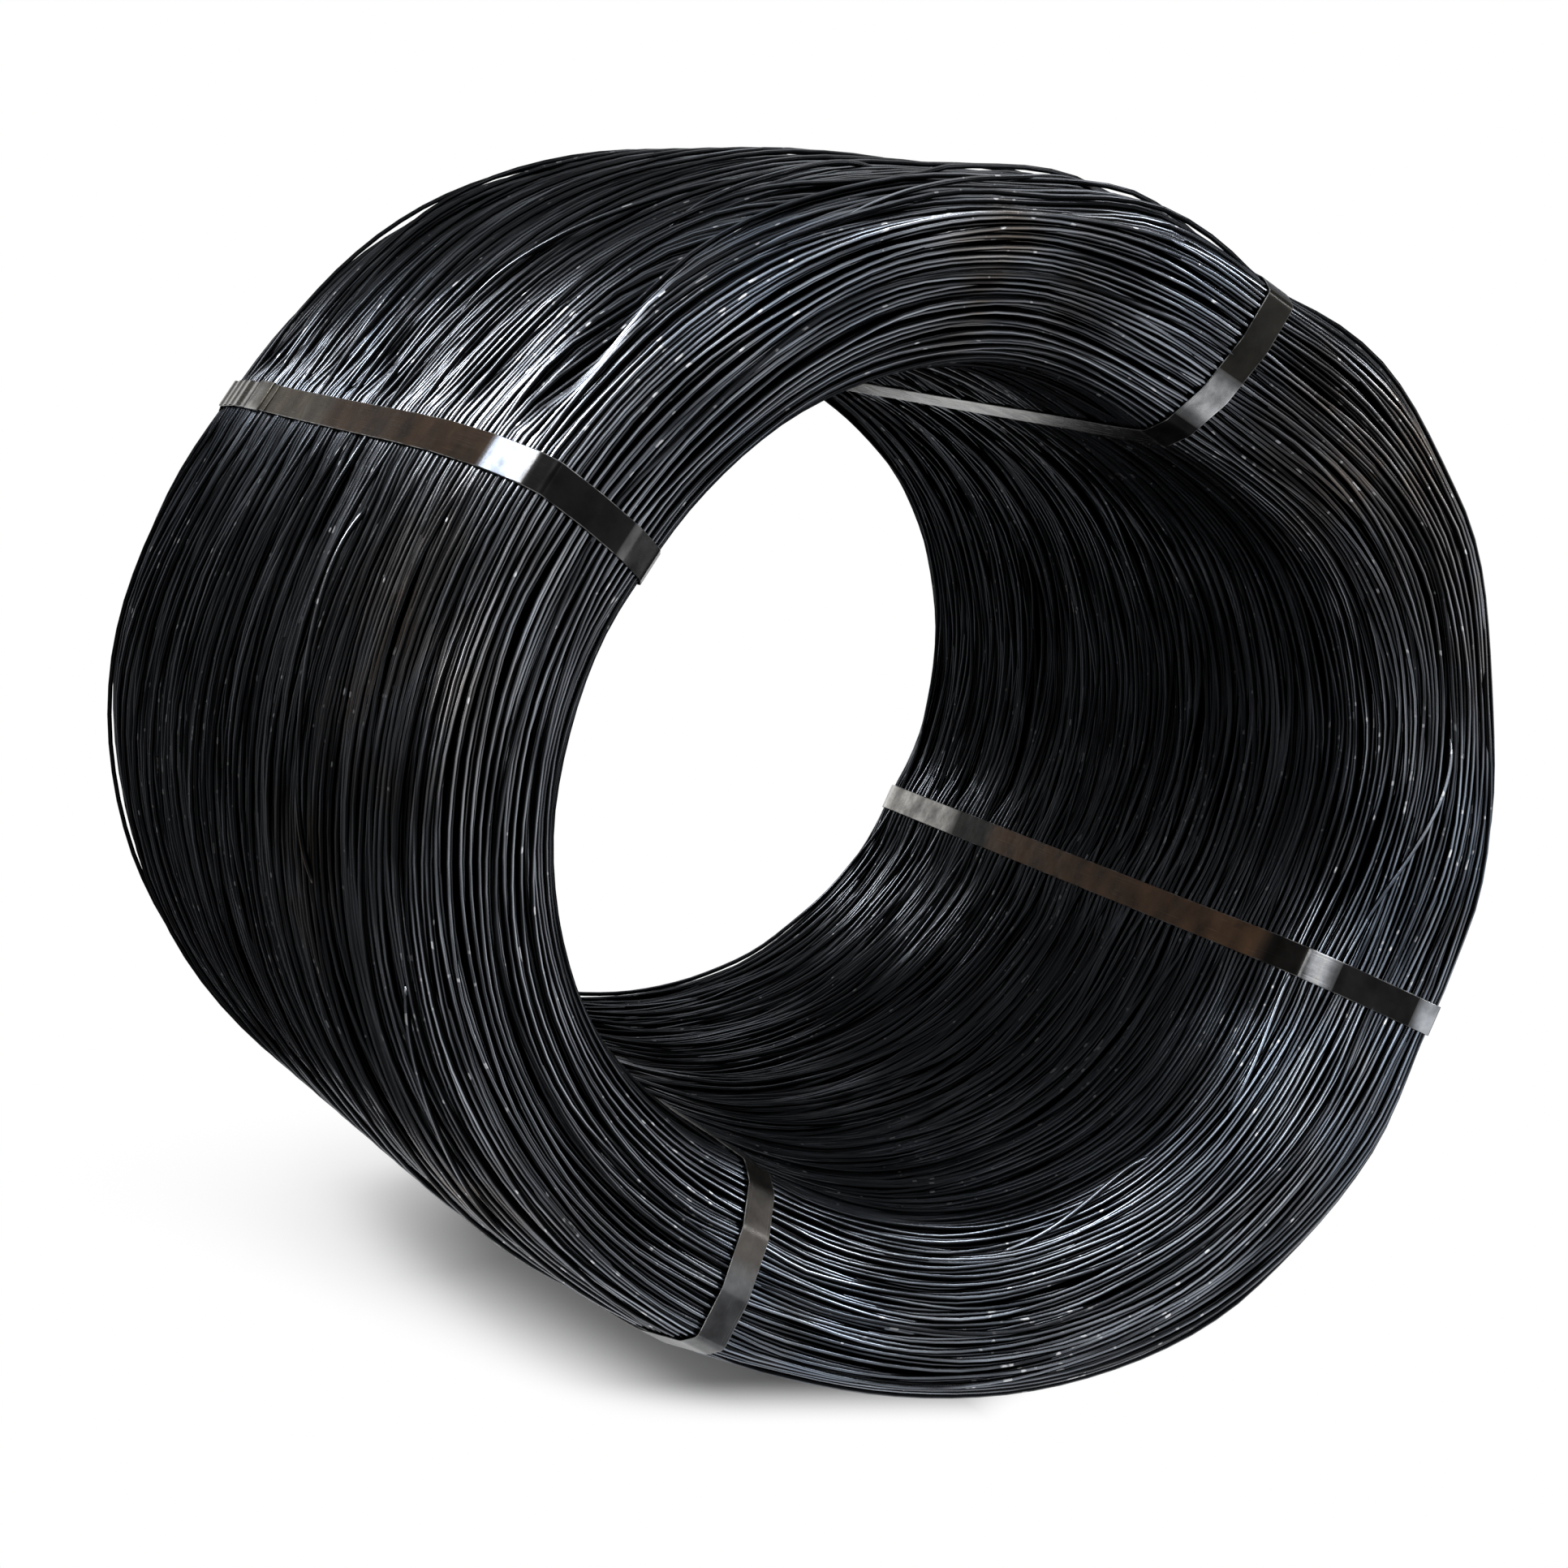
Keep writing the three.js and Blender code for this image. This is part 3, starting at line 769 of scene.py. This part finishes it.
def mill_scale():
    """Hot-rolled rod as it leaves the mill: blue-black scale, with a painted highlight along the side of each
    rod that faces out of the coil, which also stands for scale rubbed to bare steel there.
    """
    material, node = new_finish(ROD_FINISH)
    where = node("TexCoord").outputs["Object"]
    turn = node("Attribute", attribute_name="turn").outputs["Fac"]
    # A spot that moves along one rod only: its place round the axis, and a depth of its own for each turn.
    own = node("SeparateXYZ", [where]).outputs
    apart = node("Math", [turn, FINISH_APART], operation="MULTIPLY")
    on_rod = node("CombineXYZ", [own[0], own[2], apart])

    # The crest: 1 along the line that faces straight out of the coil, 0 on the rod's flanks.
    crest = node("Attribute", attribute_name="crest").outputs["Fac"]
    crest = node("MapRange", [crest, CREST_EDGE, CREST_FULL], interpolation_type="SMOOTHSTEP")

    # Tone: the painted highlight and the rubbed steel are brighter on some rods than on others, stretch by
    # stretch.
    tone = node("TexNoise", {"Vector": on_rod, "Scale": HIGHLIGHT_TONE_SCALE, "Detail": 2.0})
    tone = node("MapRange", [tone, 0.30, 0.70])
    steel, brown, blue = (
        node("Mix", {0: tone, 6: linear(dull), 7: linear(bright)}, data_type="RGBA")
        for dull, bright in (("#3b3e43", "#b4bac4"), ("#3a342f", "#a6988b"), ("#3c434d", "#a7b5c8"))
    )
    patch = node("TexNoise", {"Vector": where, "Scale": PATCH_SCALE, "Detail": 2.0})
    patch = node("MapRange", [patch, 0.35, 0.6])
    for name, colour in (("blued", blue), ("browned", brown)):
        mask = node("Attribute", attribute_name=name).outputs["Fac"]
        mask = node("Math", [mask, patch], operation="MULTIPLY")
        steel = node("Mix", {0: mask, 6: steel.outputs[2], 7: colour.outputs[2]}, data_type="RGBA")
    # A rod that lies under others gets less of the painted highlight, as painted shade,
    # and its scale is rubbed less too.
    under = node("Attribute", attribute_name="under").outputs["Fac"]
    under_shade = node("MapRange", [under, 0.15, 0.9, 1.0, 0.2])
    crest = node("Math", [crest, under_shade], operation="MULTIPLY")
    # The outward line takes the steel's colours as a painted highlight; the flanks keep the scale's
    # near-black.
    colour = node("Mix", {0: crest, 6: linear("#101113"), 7: steel.outputs[2]}, data_type="RGBA")
    # Nicks: where the scale has sprung off, the steel is bright.
    nick = node("TexNoise", {"Vector": on_rod, "Scale": NICK_SCALE, "Detail": 1.0})
    worn = node("TexNoise", {"Vector": where, "Scale": WORN_SCALE, "Detail": 1.0})
    worn = node("MapRange", [worn, 0.42, 0.68, 0.0, 0.1])
    nick = node("Math", [nick, worn], operation="ADD")
    nick = node("MapRange", [nick, 0.74, 0.80])
    nick = node("Math", [nick, crest], operation="MULTIPLY")
    colour = node("Mix", {0: nick, 6: colour.outputs[2], 7: linear("#eceef2")}, data_type="RGBA")
    rough = node("MapRange", {0: nick, 3: 0.25, 4: 0.38})

    # The rods are never quite straight, which breaks the streaks of light on them.
    wave = node("TexNoise", {"Vector": on_rod, "Scale": BEND_SCALE, "Detail": 1.0})
    dents = node("Bump", {"Strength": 1.0, "Distance": 1.5 * MM, "Height": wave})
    shader = node("BsdfPrincipled", {
        "Base Color": colour.outputs[2], "Metallic": 0.95, "Roughness": rough, "Normal": dents,
    })
    node("OutputMaterial", [shader])
    return material


def painted_shade_rod():
    """Rod deep in the coil, painted black and dull as the shade in the gaps between the turns, where no
    light reaches.
    """
    material, node = new_finish("Hot-rolled rod, painted shade")
    shader = node("BsdfPrincipled", {
        "Base Color": linear("#050505"), "Roughness": 1.0, "Specular IOR Level": 0.0,
    })
    node("OutputMaterial", [shader])
    return material


# Scratches on the strip to a metre along it and across it, each about 80 mm long and 1 mm wide, and how far
# from the strip's middle its edges are rubbed.
SCRATCHES_ALONG = 12.0
SCRATCHES_ACROSS = 900.0
EDGE_RUB = (15.2 * MM, 15.9 * MM)


def blued_band():
    """Cold-rolled steel strip, blued and smoked by the mill: soft reflections, and scratches along it."""
    material, node = new_finish("Steel strip, blued")
    where = node("TexCoord").outputs["Object"]
    # Its colour, stretch by stretch: oxide, painted highlights and painted dark reflections.
    oxide_and_reflections = node("Attribute", attribute_name="oxide_and_reflections").outputs["Color"]
    along, across = (node("Attribute", attribute_name=name).outputs["Fac"] for name in ("along", "across"))
    cloud = node("TexNoise", {"Vector": where, "Scale": CLOUD_SCALE, "Detail": 4.0, "Roughness": 0.6})
    cloud = node("MapRange", [cloud, 0.3, 0.7, 0.45, 1.5])
    colour = node("VectorMath", {0: oxide_and_reflections, "Scale": cloud}, operation="SCALE")

    # Fine scratches run along the strip, and its edges are rubbed bright in places.
    streaks = node("CombineXYZ", {
        0: node("Math", [along, SCRATCHES_ALONG], operation="MULTIPLY"),
        1: node("Math", [across, SCRATCHES_ACROSS], operation="MULTIPLY"),
    })
    scratch = node("TexNoise", {"Vector": streaks, "Scale": 1.0, "Detail": 3.0})
    edge = node("Math", [across], operation="ABSOLUTE")
    edge = node("MapRange", [edge, EDGE_RUB[0], EDGE_RUB[1]])
    rub = node("TexNoise", {"Vector": where, "Scale": EDGE_SCALE, "Detail": 2.0})
    rub = node("MapRange", [rub, 0.42, 0.62, 0.1, 0.9])
    rub = node("Math", [rub, edge], operation="MULTIPLY")
    colour = node("Mix", {0: rub, 6: colour, 7: linear("#8d8d8c")}, data_type="RGBA").outputs[2]
    rough = node("MapRange", [scratch, 0.3, 0.7, 0.20, 0.28])
    dents = node("TexNoise", {"Vector": where, "Scale": DENT_SCALE, "Detail": 2.0})
    dents = node("Math", [scratch, 0.012, dents], operation="MULTIPLY_ADD")
    dents = node("Bump", {"Strength": 1.0, "Distance": 0.5 * MM, "Height": dents})
    # Thick oxide covers the steel, and dark reflections are painted on it: the darker a stretch is, the more
    # its own colour shows and the less it mirrors.
    depth = node("RGBToBW", [oxide_and_reflections])
    bare = node("MapRange", [depth, 0.03, 0.16, 0.25, 1.0])
    sheen = node("MapRange", [depth, 0.008, 0.03, 0.06, 0.5])
    shader = node("BsdfPrincipled", {
        "Base Color": colour, "Metallic": bare, "Roughness": rough, "Specular IOR Level": sheen,
        "Normal": dents,
    })
    node("OutputMaterial", [shader])
    return material


def seen_directly(node):
    """1 for what the camera sees, itself or in a mirror, and 0 for the light that falls on things."""
    seen = node("LightPath").outputs
    direct = node("Math", [seen["Is Camera Ray"], seen["Is Glossy Ray"]], operation="ADD")
    return node("Math", [direct, seen["Is Transmission Ray"]], operation="ADD", use_clamp=True)


# Where the coil's shadow shows on the paper. Its outline is painted: beyond it the paper is painted white
# over the shadow that the lamps cast. Its side edge fades from an inner line to an outer one. Each line is
# given by how fast it moves aside along Y and where it is at Y = 0, and the edge is softer far back.
SHADOW_INNER = (0.15, 0.24)
SHADOW_FAR_INNER = (-0.3, 0.30)
SHADOW_OUTER = (0.45, 0.475)
SHADOW_EDGE = 0.1
SHADOW_DARKEST = 0.95
# Along Y it fades between these places. Its near edge draws back towards the sides.
SHADOW_NEAR = (-0.35, -0.47)
SHADOW_NEAR_BACK = -0.48
SHADOW_FAR = (0.20, 0.75)


def white_paper():
    """Seamless paper. Near the coil it shows the shadow that the lamps cast, deepened by the paper's grey;
    away from it, it is painted pure white, also over that shadow, so the shadow's outline is painted.
    """
    material, node = new_finish("White seamless paper")
    where = node("TexCoord").outputs["Object"]
    place = node("SeparateXYZ", [where]).outputs
    aside = node("Math", [place["X"]], operation="ABSOLUTE")
    inner, far_inner, outer = (
        node("Math", [place["Y"], slope, middle], operation="MULTIPLY_ADD")
        for slope, middle in (SHADOW_INNER, SHADOW_FAR_INNER, SHADOW_OUTER)
    )
    inner = node("Math", [inner, far_inner], operation="MINIMUM")
    least = node("Math", [inner, SHADOW_EDGE], operation="ADD")
    outer = node("Math", [outer, least], operation="MAXIMUM")
    dim = node("MapRange", [aside, inner, outer, SHADOW_DARKEST, 0.0], interpolation_type="SMOOTHSTEP")
    across = node("Math", [aside, SHADOW_NEAR_BACK, place["Y"]], operation="MULTIPLY_ADD")
    for along, (start, end) in ((across, SHADOW_NEAR), (place["Y"], SHADOW_FAR)):
        kept = node("MapRange", [along, start, end, 1.0, 0.0], interpolation_type="SMOOTHSTEP")
        dim = node("Math", [dim, kept], operation="MULTIPLY")
    share = node("Math", [1.0, dim], operation="SUBTRACT")
    share = node("Math", [share, seen_directly(node)], operation="MULTIPLY")
    paper = node("BsdfDiffuse", [linear("#c8c8c8")])
    white = node("Emission", [linear("#ffffff"), 1.0])
    mixed = node("MixShader", [share, paper, white])
    node("OutputMaterial", [mixed])
    return material


def grey_card():
    """Grey card that glows at a dim, even level though no lamp lights it: it paints dark surroundings into
    the steel's reflections.
    """
    material, node = new_finish("Grey card")
    shader = node("Emission", [linear("#ffffff"), CARD_LEVEL])
    node("OutputMaterial", [shader])
    return material


# ---- Operators ---------------------------------------------------------------------------------------------


class COIL_OT_turns(bpy.types.Operator):
    """Wind the turns of rod that show."""

    bl_idname = "coil.turns"
    bl_label = "Wind turns"

    def execute(self, context):
        lay = context.scene.coil_lay
        surface = make_lay_surface()
        tree = winding_tree()
        common = {
            "Steps": TURN_STEPS, "Sides": ROD_SIDES, "Rod diameter": sizes().rod_diameter, "Girth": girth(),
            "Drift": lay.drift, "Bunch": lay.bunch, "Finish": mill_scale(),
        }
        names = ("turns_far_barrel", "turns_near_barrel", "turns_near_end", "turns_bore", "turns_far_end")
        for i, name in enumerate(names):
            self.wind(surface, name, tree, {
                **common, "Turns": lay.turns, "First": round(i * lay.turns / len(names)),
                "Last": round((i + 1) * lay.turns / len(names)), "Seed": lay.seed, "Depth": lay.depth,
                "Stray": lay.stray, "Lift": 0.0,
            })
        # A few turns lie loose across the others.
        self.wind(surface, "loose_turns", tree, {
            **common, "Turns": lay.loose_turns, "First": 0, "Last": lay.loose_turns, "Seed": lay.seed + 1,
            "Depth": 0.0, "Stray": lay.loose_stray, "Lift": 0.5 * sizes().rod_diameter,
        })
        bpy.data.objects.remove(surface)
        return {"FINISHED"}

    def wind(self, surface, name, tree, values):
        rods = baked(surface, name, tree, values)
        colour_spots(rods.data)
        stand_in(rods, "rod_coil")


# Rods that surface among the others and end in sight: clock angle and stage at one end and at the other.
LOOSE_ENDS = (
    (118.4, 4.78, 140.0, 4.70), (333.0, 3.10, 356.0, 2.92), (318.0, 2.45, 347.0, 2.80),
    (342.0, 3.62, 372.0, 3.40), (268.0, 3.05, 299.0, 2.86), (86.0, 4.30, 110.0, 4.52),
    (230.0, 3.45, 262.0, 3.60), (152.0, 4.90, 178.0, 4.70),
)
LOOSE_END_STEPS = 36
LOOSE_END_SIDES = 8
# How high one lies over the wall along its middle, and how far it has dipped at its ends, in rod diameters.
LOOSE_END_RISE = 0.42
LOOSE_END_DIP = 2.0
LOOSE_END_BEND = 5
# Their turn numbers, for the finish only, are past those of the wound turns.
LOOSE_END_NUMBER = 2000.5
LOOSE_END_APART = 3


class COIL_OT_loose_ends(bpy.types.Operator):
    """Lay the few rods that surface from among the others and end there."""

    bl_idname = "coil.loose_ends"
    bl_label = "Lay loose ends"

    def execute(self, context):
        points, faces, numbers, crests = [], [], [], []
        turned = np.arange(LOOSE_END_SIDES) / LOOSE_END_SIDES
        crest = np.clip(1 - np.minimum(turned, 1 - turned) * ROD_SIDES, 0, 1)
        for number, ends in enumerate(LOOSE_ENDS):
            rings = self.tube(*ends)
            first, last = len(points), len(points) + len(rings) * LOOSE_END_SIDES
            sides = quads(len(rings), LOOSE_END_SIDES, rows_close=False)[:, [0, 3, 2, 1]]
            faces += (sides + first).tolist()
            faces += [list(reversed(range(first, first + LOOSE_END_SIDES)))]
            faces += [list(range(last - LOOSE_END_SIDES, last))]
            points += rings.reshape(-1, 3).tolist()
            numbers += [LOOSE_END_NUMBER + LOOSE_END_APART * number] * (last - first)
            crests.append(np.tile(crest, len(rings)))
        rods = new_object("loose_ends", points, faces)
        rods.data.shade_smooth()
        store(rods.data, "turn", numbers)
        store(rods.data, "crest", np.concatenate(crests))
        rods.data.materials.append(bpy.data.materials[ROD_FINISH])
        colour_spots(rods.data)
        stand_in(rods, "rod_coil")
        return {"FINISHED"}

    def tube(self, start_clock, start_stage, end_clock, end_stage):
        """Rings of points along a rod that rises out of the wall, lies over it and dips again."""
        share = np.linspace(0, 1, LOOSE_END_STEPS)
        stage = start_stage + (end_stage - start_stage) * eased(share)
        clock = start_clock + (end_clock - start_clock) * share
        path = wall_point(stage, clock)
        across, around = wall_point(stage + 0.01, clock) - path, wall_point(stage, clock + 0.5) - path
        outwards = unit(np.cross(across, around))
        height = LOOSE_END_RISE - LOOSE_END_DIP * np.abs(2 * share - 1) ** LOOSE_END_BEND
        round_clock = np.mod(clock, 360)
        rise = height * sizes().rod_diameter + near_swell(stage, round_clock)
        rise = rise - valley_depth(path, round_clock)
        path = path + outwards * rise[:, None]
        ahead = unit(np.gradient(path, axis=0))
        aside = unit(np.cross(ahead, outwards))
        upwards = np.cross(aside, ahead)
        turn = np.linspace(0, math.tau, LOOSE_END_SIDES, endpoint=False)[None, :, None]
        half = sizes().rod_diameter / 2
        return path[:, None] + half * (np.cos(turn) * upwards[:, None] + np.sin(turn) * aside[:, None])


# How far the inner turns lie under the wall.
CORE_DEPTH = 21 * MM
CORE_COLUMNS = 140
CORE_ROWS = 72


class COIL_OT_core(bpy.types.Operator):
    """Make the mass of turns under those that show, painted black as shade."""

    bl_idname = "coil.core"
    bl_label = "Make inner turns"

    def execute(self, context):
        # One column and row more on each side, so that the directions at the seams are right too.
        lay = np.arange(-1, CORE_COLUMNS + 1) / CORE_COLUMNS
        clock = np.arange(-1, CORE_ROWS + 1) / CORE_ROWS * 360
        points, outwards = lay_points(lay, clock)
        points = (points - outwards * CORE_DEPTH)[1:-1, 1:-1]
        faces = quads(*points.shape[:2])
        core = new_object("inner_turns", points.reshape(-1, 3).tolist(), faces.tolist())
        core.data.shade_smooth()
        core.data.materials.append(painted_shade_rod())
        stand_in(core, "rod_coil")
        return {"FINISHED"}


# The free end of the first band's strip lies over it, from the seal outwards, and is a little wavy.
FREE_END = (0.075, 0.300)
FREE_END_WAVE = 1.6 * MM
FREE_END_WAVES = 3.5
FREE_END_STEPS = 60
# Air between one layer of strip and what lies on it.
STRIP_GAP = 0.1 * MM

SEAL_PLACE = (0.231, 0.281)
SEAL_SHEET = 1.2 * MM
SEAL_GAP = 0.3 * MM
SEAL_STEPS = 40


class COIL_OT_bands(bpy.types.Operator):
    """Lay the four bands and close each one with its seal."""

    bl_idname = "coil.bands"
    bl_label = "Lay bands"

    def execute(self, context):
        finish = blued_band()
        width, thickness = sizes().band_width, sizes().band_thickness
        section = band_section(width, thickness)
        for band, clock in enumerate(BAND_CLOCKS):
            places, line, outwards = band_path(clock)
            slower = np.sin(places / (RIPPLE_SLOWER * RIPPLE_STEP) + 2 * band)
            ripple = RIPPLE * np.sin(places / RIPPLE_STEP + band) * slower
            path = (places, line + outwards * ripple[:, None], outwards)
            node = f"strap_{band + 1}"
            strip = swept(f"{node}_strip", path, section, clock, closed=True)
            self.finish_piece(strip, finish, node, "band_steel", band, places, len(section))
            if band == 0:
                self.lay_free_end(path, section, finish, clock)
            self.lay_seal(path, finish, band, clock)
        return {"FINISHED"}

    def finish_piece(self, piece, finish, node, slot, band, places, columns):
        oxide_and_reflections_on(piece.data, band, places, columns)
        piece.data.materials.append(finish)
        stand_in(piece, node)

    def part_of(self, path, start, end, steps):
        """A stretch of a band's path, in even steps."""
        places, line, outwards = path
        order = np.argsort(places)
        stretch = np.linspace(start, end, steps)
        values = [np.interp(stretch, places[order], column[order]) for column in (*line.T, *outwards.T)]
        return stretch, np.stack(values[:2], axis=-1), unit(np.stack(values[2:], axis=-1))

    def lay_free_end(self, path, section, finish, clock):
        """The strip's end over the band. It is held flat at the seal and waves more and more from there."""
        stretch, line, outwards = self.part_of(path, *FREE_END, FREE_END_STEPS)
        share = (FREE_END[1] - stretch) / (FREE_END[1] - FREE_END[0])
        wave = FREE_END_WAVE * np.sin(share * FREE_END_WAVES * math.tau) ** 2 * np.clip(share * 3 - 0.6, 0, 1)
        line = line + outwards * (wave + sizes().band_thickness + STRIP_GAP)[:, None]
        free = swept("strap_1_free_end", (stretch, line, outwards), section, clock, closed=False)
        self.finish_piece(free, finish, "strap_1", "band_steel", 0, stretch, len(section))

    def lay_seal(self, path, finish, band, clock):
        """A sheet channel over the band."""
        stretch, line, outwards = self.part_of(path, *SEAL_PLACE, SEAL_STEPS)
        layers = 2 if band == 0 else 1
        inner = sizes().band_width / 2 + SEAL_GAP
        outer = inner + SEAL_SHEET
        low = layers * (sizes().band_thickness + STRIP_GAP) + SEAL_GAP
        high = low + SEAL_SHEET
        soft = SEAL_SHEET / 2
        outside = [(outer, 0), (outer, high - soft), (outer - soft / 3, high - soft / 3)]
        outside += [(outer - soft, high), (inner / 2, high)]
        inside = [(-inner, 0), (-inner, low), (-inner / 2, low)]
        section = outside + [(-across, height) for across, height in reversed(outside)]
        section += inside + [(-across, height) for across, height in reversed(inside)]
        node = f"seal_{band + 1}"
        seal = swept(f"{node}_sheet", (stretch, line, outwards), np.array(section), clock, closed=False)
        self.finish_piece(seal, finish, node, "seal_steel", band, stretch, len(section))


# The camera stands at this distance from the axis's middle, a little to the right and below. It looks
# straight along the azimuth and elevation, which are counted from -Y and from the floor.
CAMERA_AZIMUTH = -26.69
CAMERA_ELEVATION = 12.25
CAMERA_DISTANCE = 2.7652
CAMERA_RIGHT = 0.0056
CAMERA_UP = -0.0564
FOCAL_PIXELS = 3133.0
IMAGE_PIXELS = 1932
SENSOR_MM = 36.0

FLOOR_REACH = 30.0

# Name, angle anticlockwise from +X, elevation, and radiance where white paper is 1.
LAMPS = (
    ("front left low", 225.0, 20.0, 15.0),
    ("front low", 270.0, 20.0, 10.0),
    ("right low", 318.0, 16.0, 26.0),
    ("back left", 146.0, 44.0, 36.0),
    ("back left high", 157.5, 50.0, 32.0),
    ("front left high", 202.5, 50.0, 27.0),
    ("front high", 292.5, 50.0, 21.0),
    ("right high", 337.5, 50.0, 20.0),
)
LAMP_DISTANCE = 3.5
LAMP_SIZE = 0.6
FILL_LEVEL = 0.6

# The grey cards. Each standing one goes from and to these angles, anticlockwise from +X, and these heights.
STANDING_CARDS = ((112.0, 248.0, 0.01, 1.7), (-67.0, 248.0, 1.7, 4.0), (67.0, 157.0, 4.0, 10.0))
LYING_CARDS = ((67.0, 202.0), (247.0, 292.0), (338.0, 382.0))
CARD_DISTANCE = 4.0
LYING_CARD_START = 0.75
LYING_CARD_HEIGHT = 2 * MM
CARD_STEP = 8.0
CARD_LEVEL = 0.1


def direction(turn, rise):
    """The direction at an angle anticlockwise from +X and an elevation, both in degrees."""
    turn, rise = math.radians(turn), math.radians(rise)
    return Vector((math.cos(turn) * math.cos(rise), math.sin(turn) * math.cos(rise), math.sin(rise)))


class COIL_OT_stage(bpy.types.Operator):
    """Make the floor, the lights and the camera."""

    bl_idname = "coil.stage"
    bl_label = "Make stage"

    def execute(self, context):
        scene = context.scene
        middle = Vector((0, 0, axis_height()))
        back = direction(CAMERA_AZIMUTH - 90, CAMERA_ELEVATION)
        right = direction(CAMERA_AZIMUTH, 0)
        up = right.cross(-back)
        camera = bpy.data.objects.new("camera", bpy.data.cameras.new("camera"))
        camera.location = middle + CAMERA_DISTANCE * back + CAMERA_RIGHT * right + CAMERA_UP * up
        camera.rotation_euler = (-back).to_track_quat("-Z", "Y").to_euler()
        camera.data.sensor_width = SENSOR_MM
        camera.data.lens = FOCAL_PIXELS / IMAGE_PIXELS * SENSOR_MM
        scene.collection.objects.link(camera)
        scene.camera = camera

        scene.view_settings.view_transform = "Standard"
        world = bpy.data.worlds.new("Studio")
        world.use_nodes = True
        world.node_tree.nodes.clear()
        node = partial(add, world.node_tree, "ShaderNode")
        level = node("MapRange", {0: seen_directly(node), 3: FILL_LEVEL, 4: 1.0})
        glow = node("Background", [linear("#ffffff"), level])
        node("OutputWorld", [glow])
        scene.world = world

        signs = ((-1, -1), (1, -1), (1, 1), (-1, 1))
        corners = [(FLOOR_REACH * x, FLOOR_REACH * y, 0) for x, y in signs]
        floor = new_object("floor", corners, [(0, 1, 2, 3)])
        floor.data.materials.append(white_paper())

        self.put_cards()
        for name, turn, rise, radiance in LAMPS:
            lamp = bpy.data.lights.new(name, "AREA")
            lamp.shape = "SQUARE"
            lamp.size = LAMP_SIZE
            lamp.energy = radiance * math.pi * LAMP_SIZE ** 2
            light = bpy.data.objects.new(name, lamp)
            towards = direction(turn, rise)
            light.location = middle + towards * LAMP_DISTANCE
            light.rotation_euler = towards.to_track_quat("Z", "Y").to_euler()
            light.visible_camera = False
            scene.collection.objects.link(light)
        return {"FINISHED"}

    def put_cards(self):
        """Grey cards round the coil. They show in the steel only, and darken it."""
        points, faces = [], []
        rims = [(card[:2], (CARD_DISTANCE, card[2]), (CARD_DISTANCE, card[3])) for card in STANDING_CARDS]
        lying = ((LYING_CARD_START, LYING_CARD_HEIGHT), (CARD_DISTANCE, LYING_CARD_HEIGHT))
        rims += [(card, *lying) for card in LYING_CARDS]
        for (start, end), low, high in rims:
            turn = np.radians(np.linspace(start, end, round((end - start) / CARD_STEP) + 1))
            near, count = len(points), len(turn)
            far = near + count
            points += [(away * math.cos(a), away * math.sin(a), z) for away, z in (low, high) for a in turn]
            faces += [(near + i, near + i + 1, far + i + 1, far + i) for i in range(count - 1)]
        cards = new_object("grey_cards", points, faces)
        cards.data.materials.append(grey_card())
        for ray in ("camera", "diffuse", "shadow", "transmission"):
            setattr(cards, f"visible_{ray}", False)


class COIL_PT_panel(bpy.types.Panel):
    """The coil's sizes, its lay and the steps that build it."""

    bl_label = "Wire rod"
    bl_idname = "COIL_PT_panel"
    bl_space_type = "VIEW_3D"
    bl_region_type = "UI"
    bl_category = "Wire rod"

    def draw(self, context):
        for group in (context.scene.coil_sizes, context.scene.coil_lay):
            for name in type(group).__annotations__:
                self.layout.prop(group, name)
        for step in STEPS:
            self.layout.operator(step.bl_idname)


STEPS = (COIL_OT_stage, COIL_OT_core, COIL_OT_turns, COIL_OT_loose_ends, COIL_OT_bands)
CLASSES = (CoilSizes, CoilLay, *STEPS, COIL_PT_panel)


def register():
    for kind in CLASSES:
        bpy.utils.register_class(kind)
    bpy.types.Scene.coil_sizes = bpy.props.PointerProperty(type=CoilSizes)
    bpy.types.Scene.coil_lay = bpy.props.PointerProperty(type=CoilLay)


def unregister():
    del bpy.types.Scene.coil_lay
    del bpy.types.Scene.coil_sizes
    for kind in reversed(CLASSES):
        bpy.utils.unregister_class(kind)


def main():
    register()
    bpy.ops.coil.stage()
    bpy.ops.coil.core()
    bpy.ops.coil.turns()
    bpy.ops.coil.loose_ends()
    bpy.ops.coil.bands()


if __name__ == "__main__":
    main()
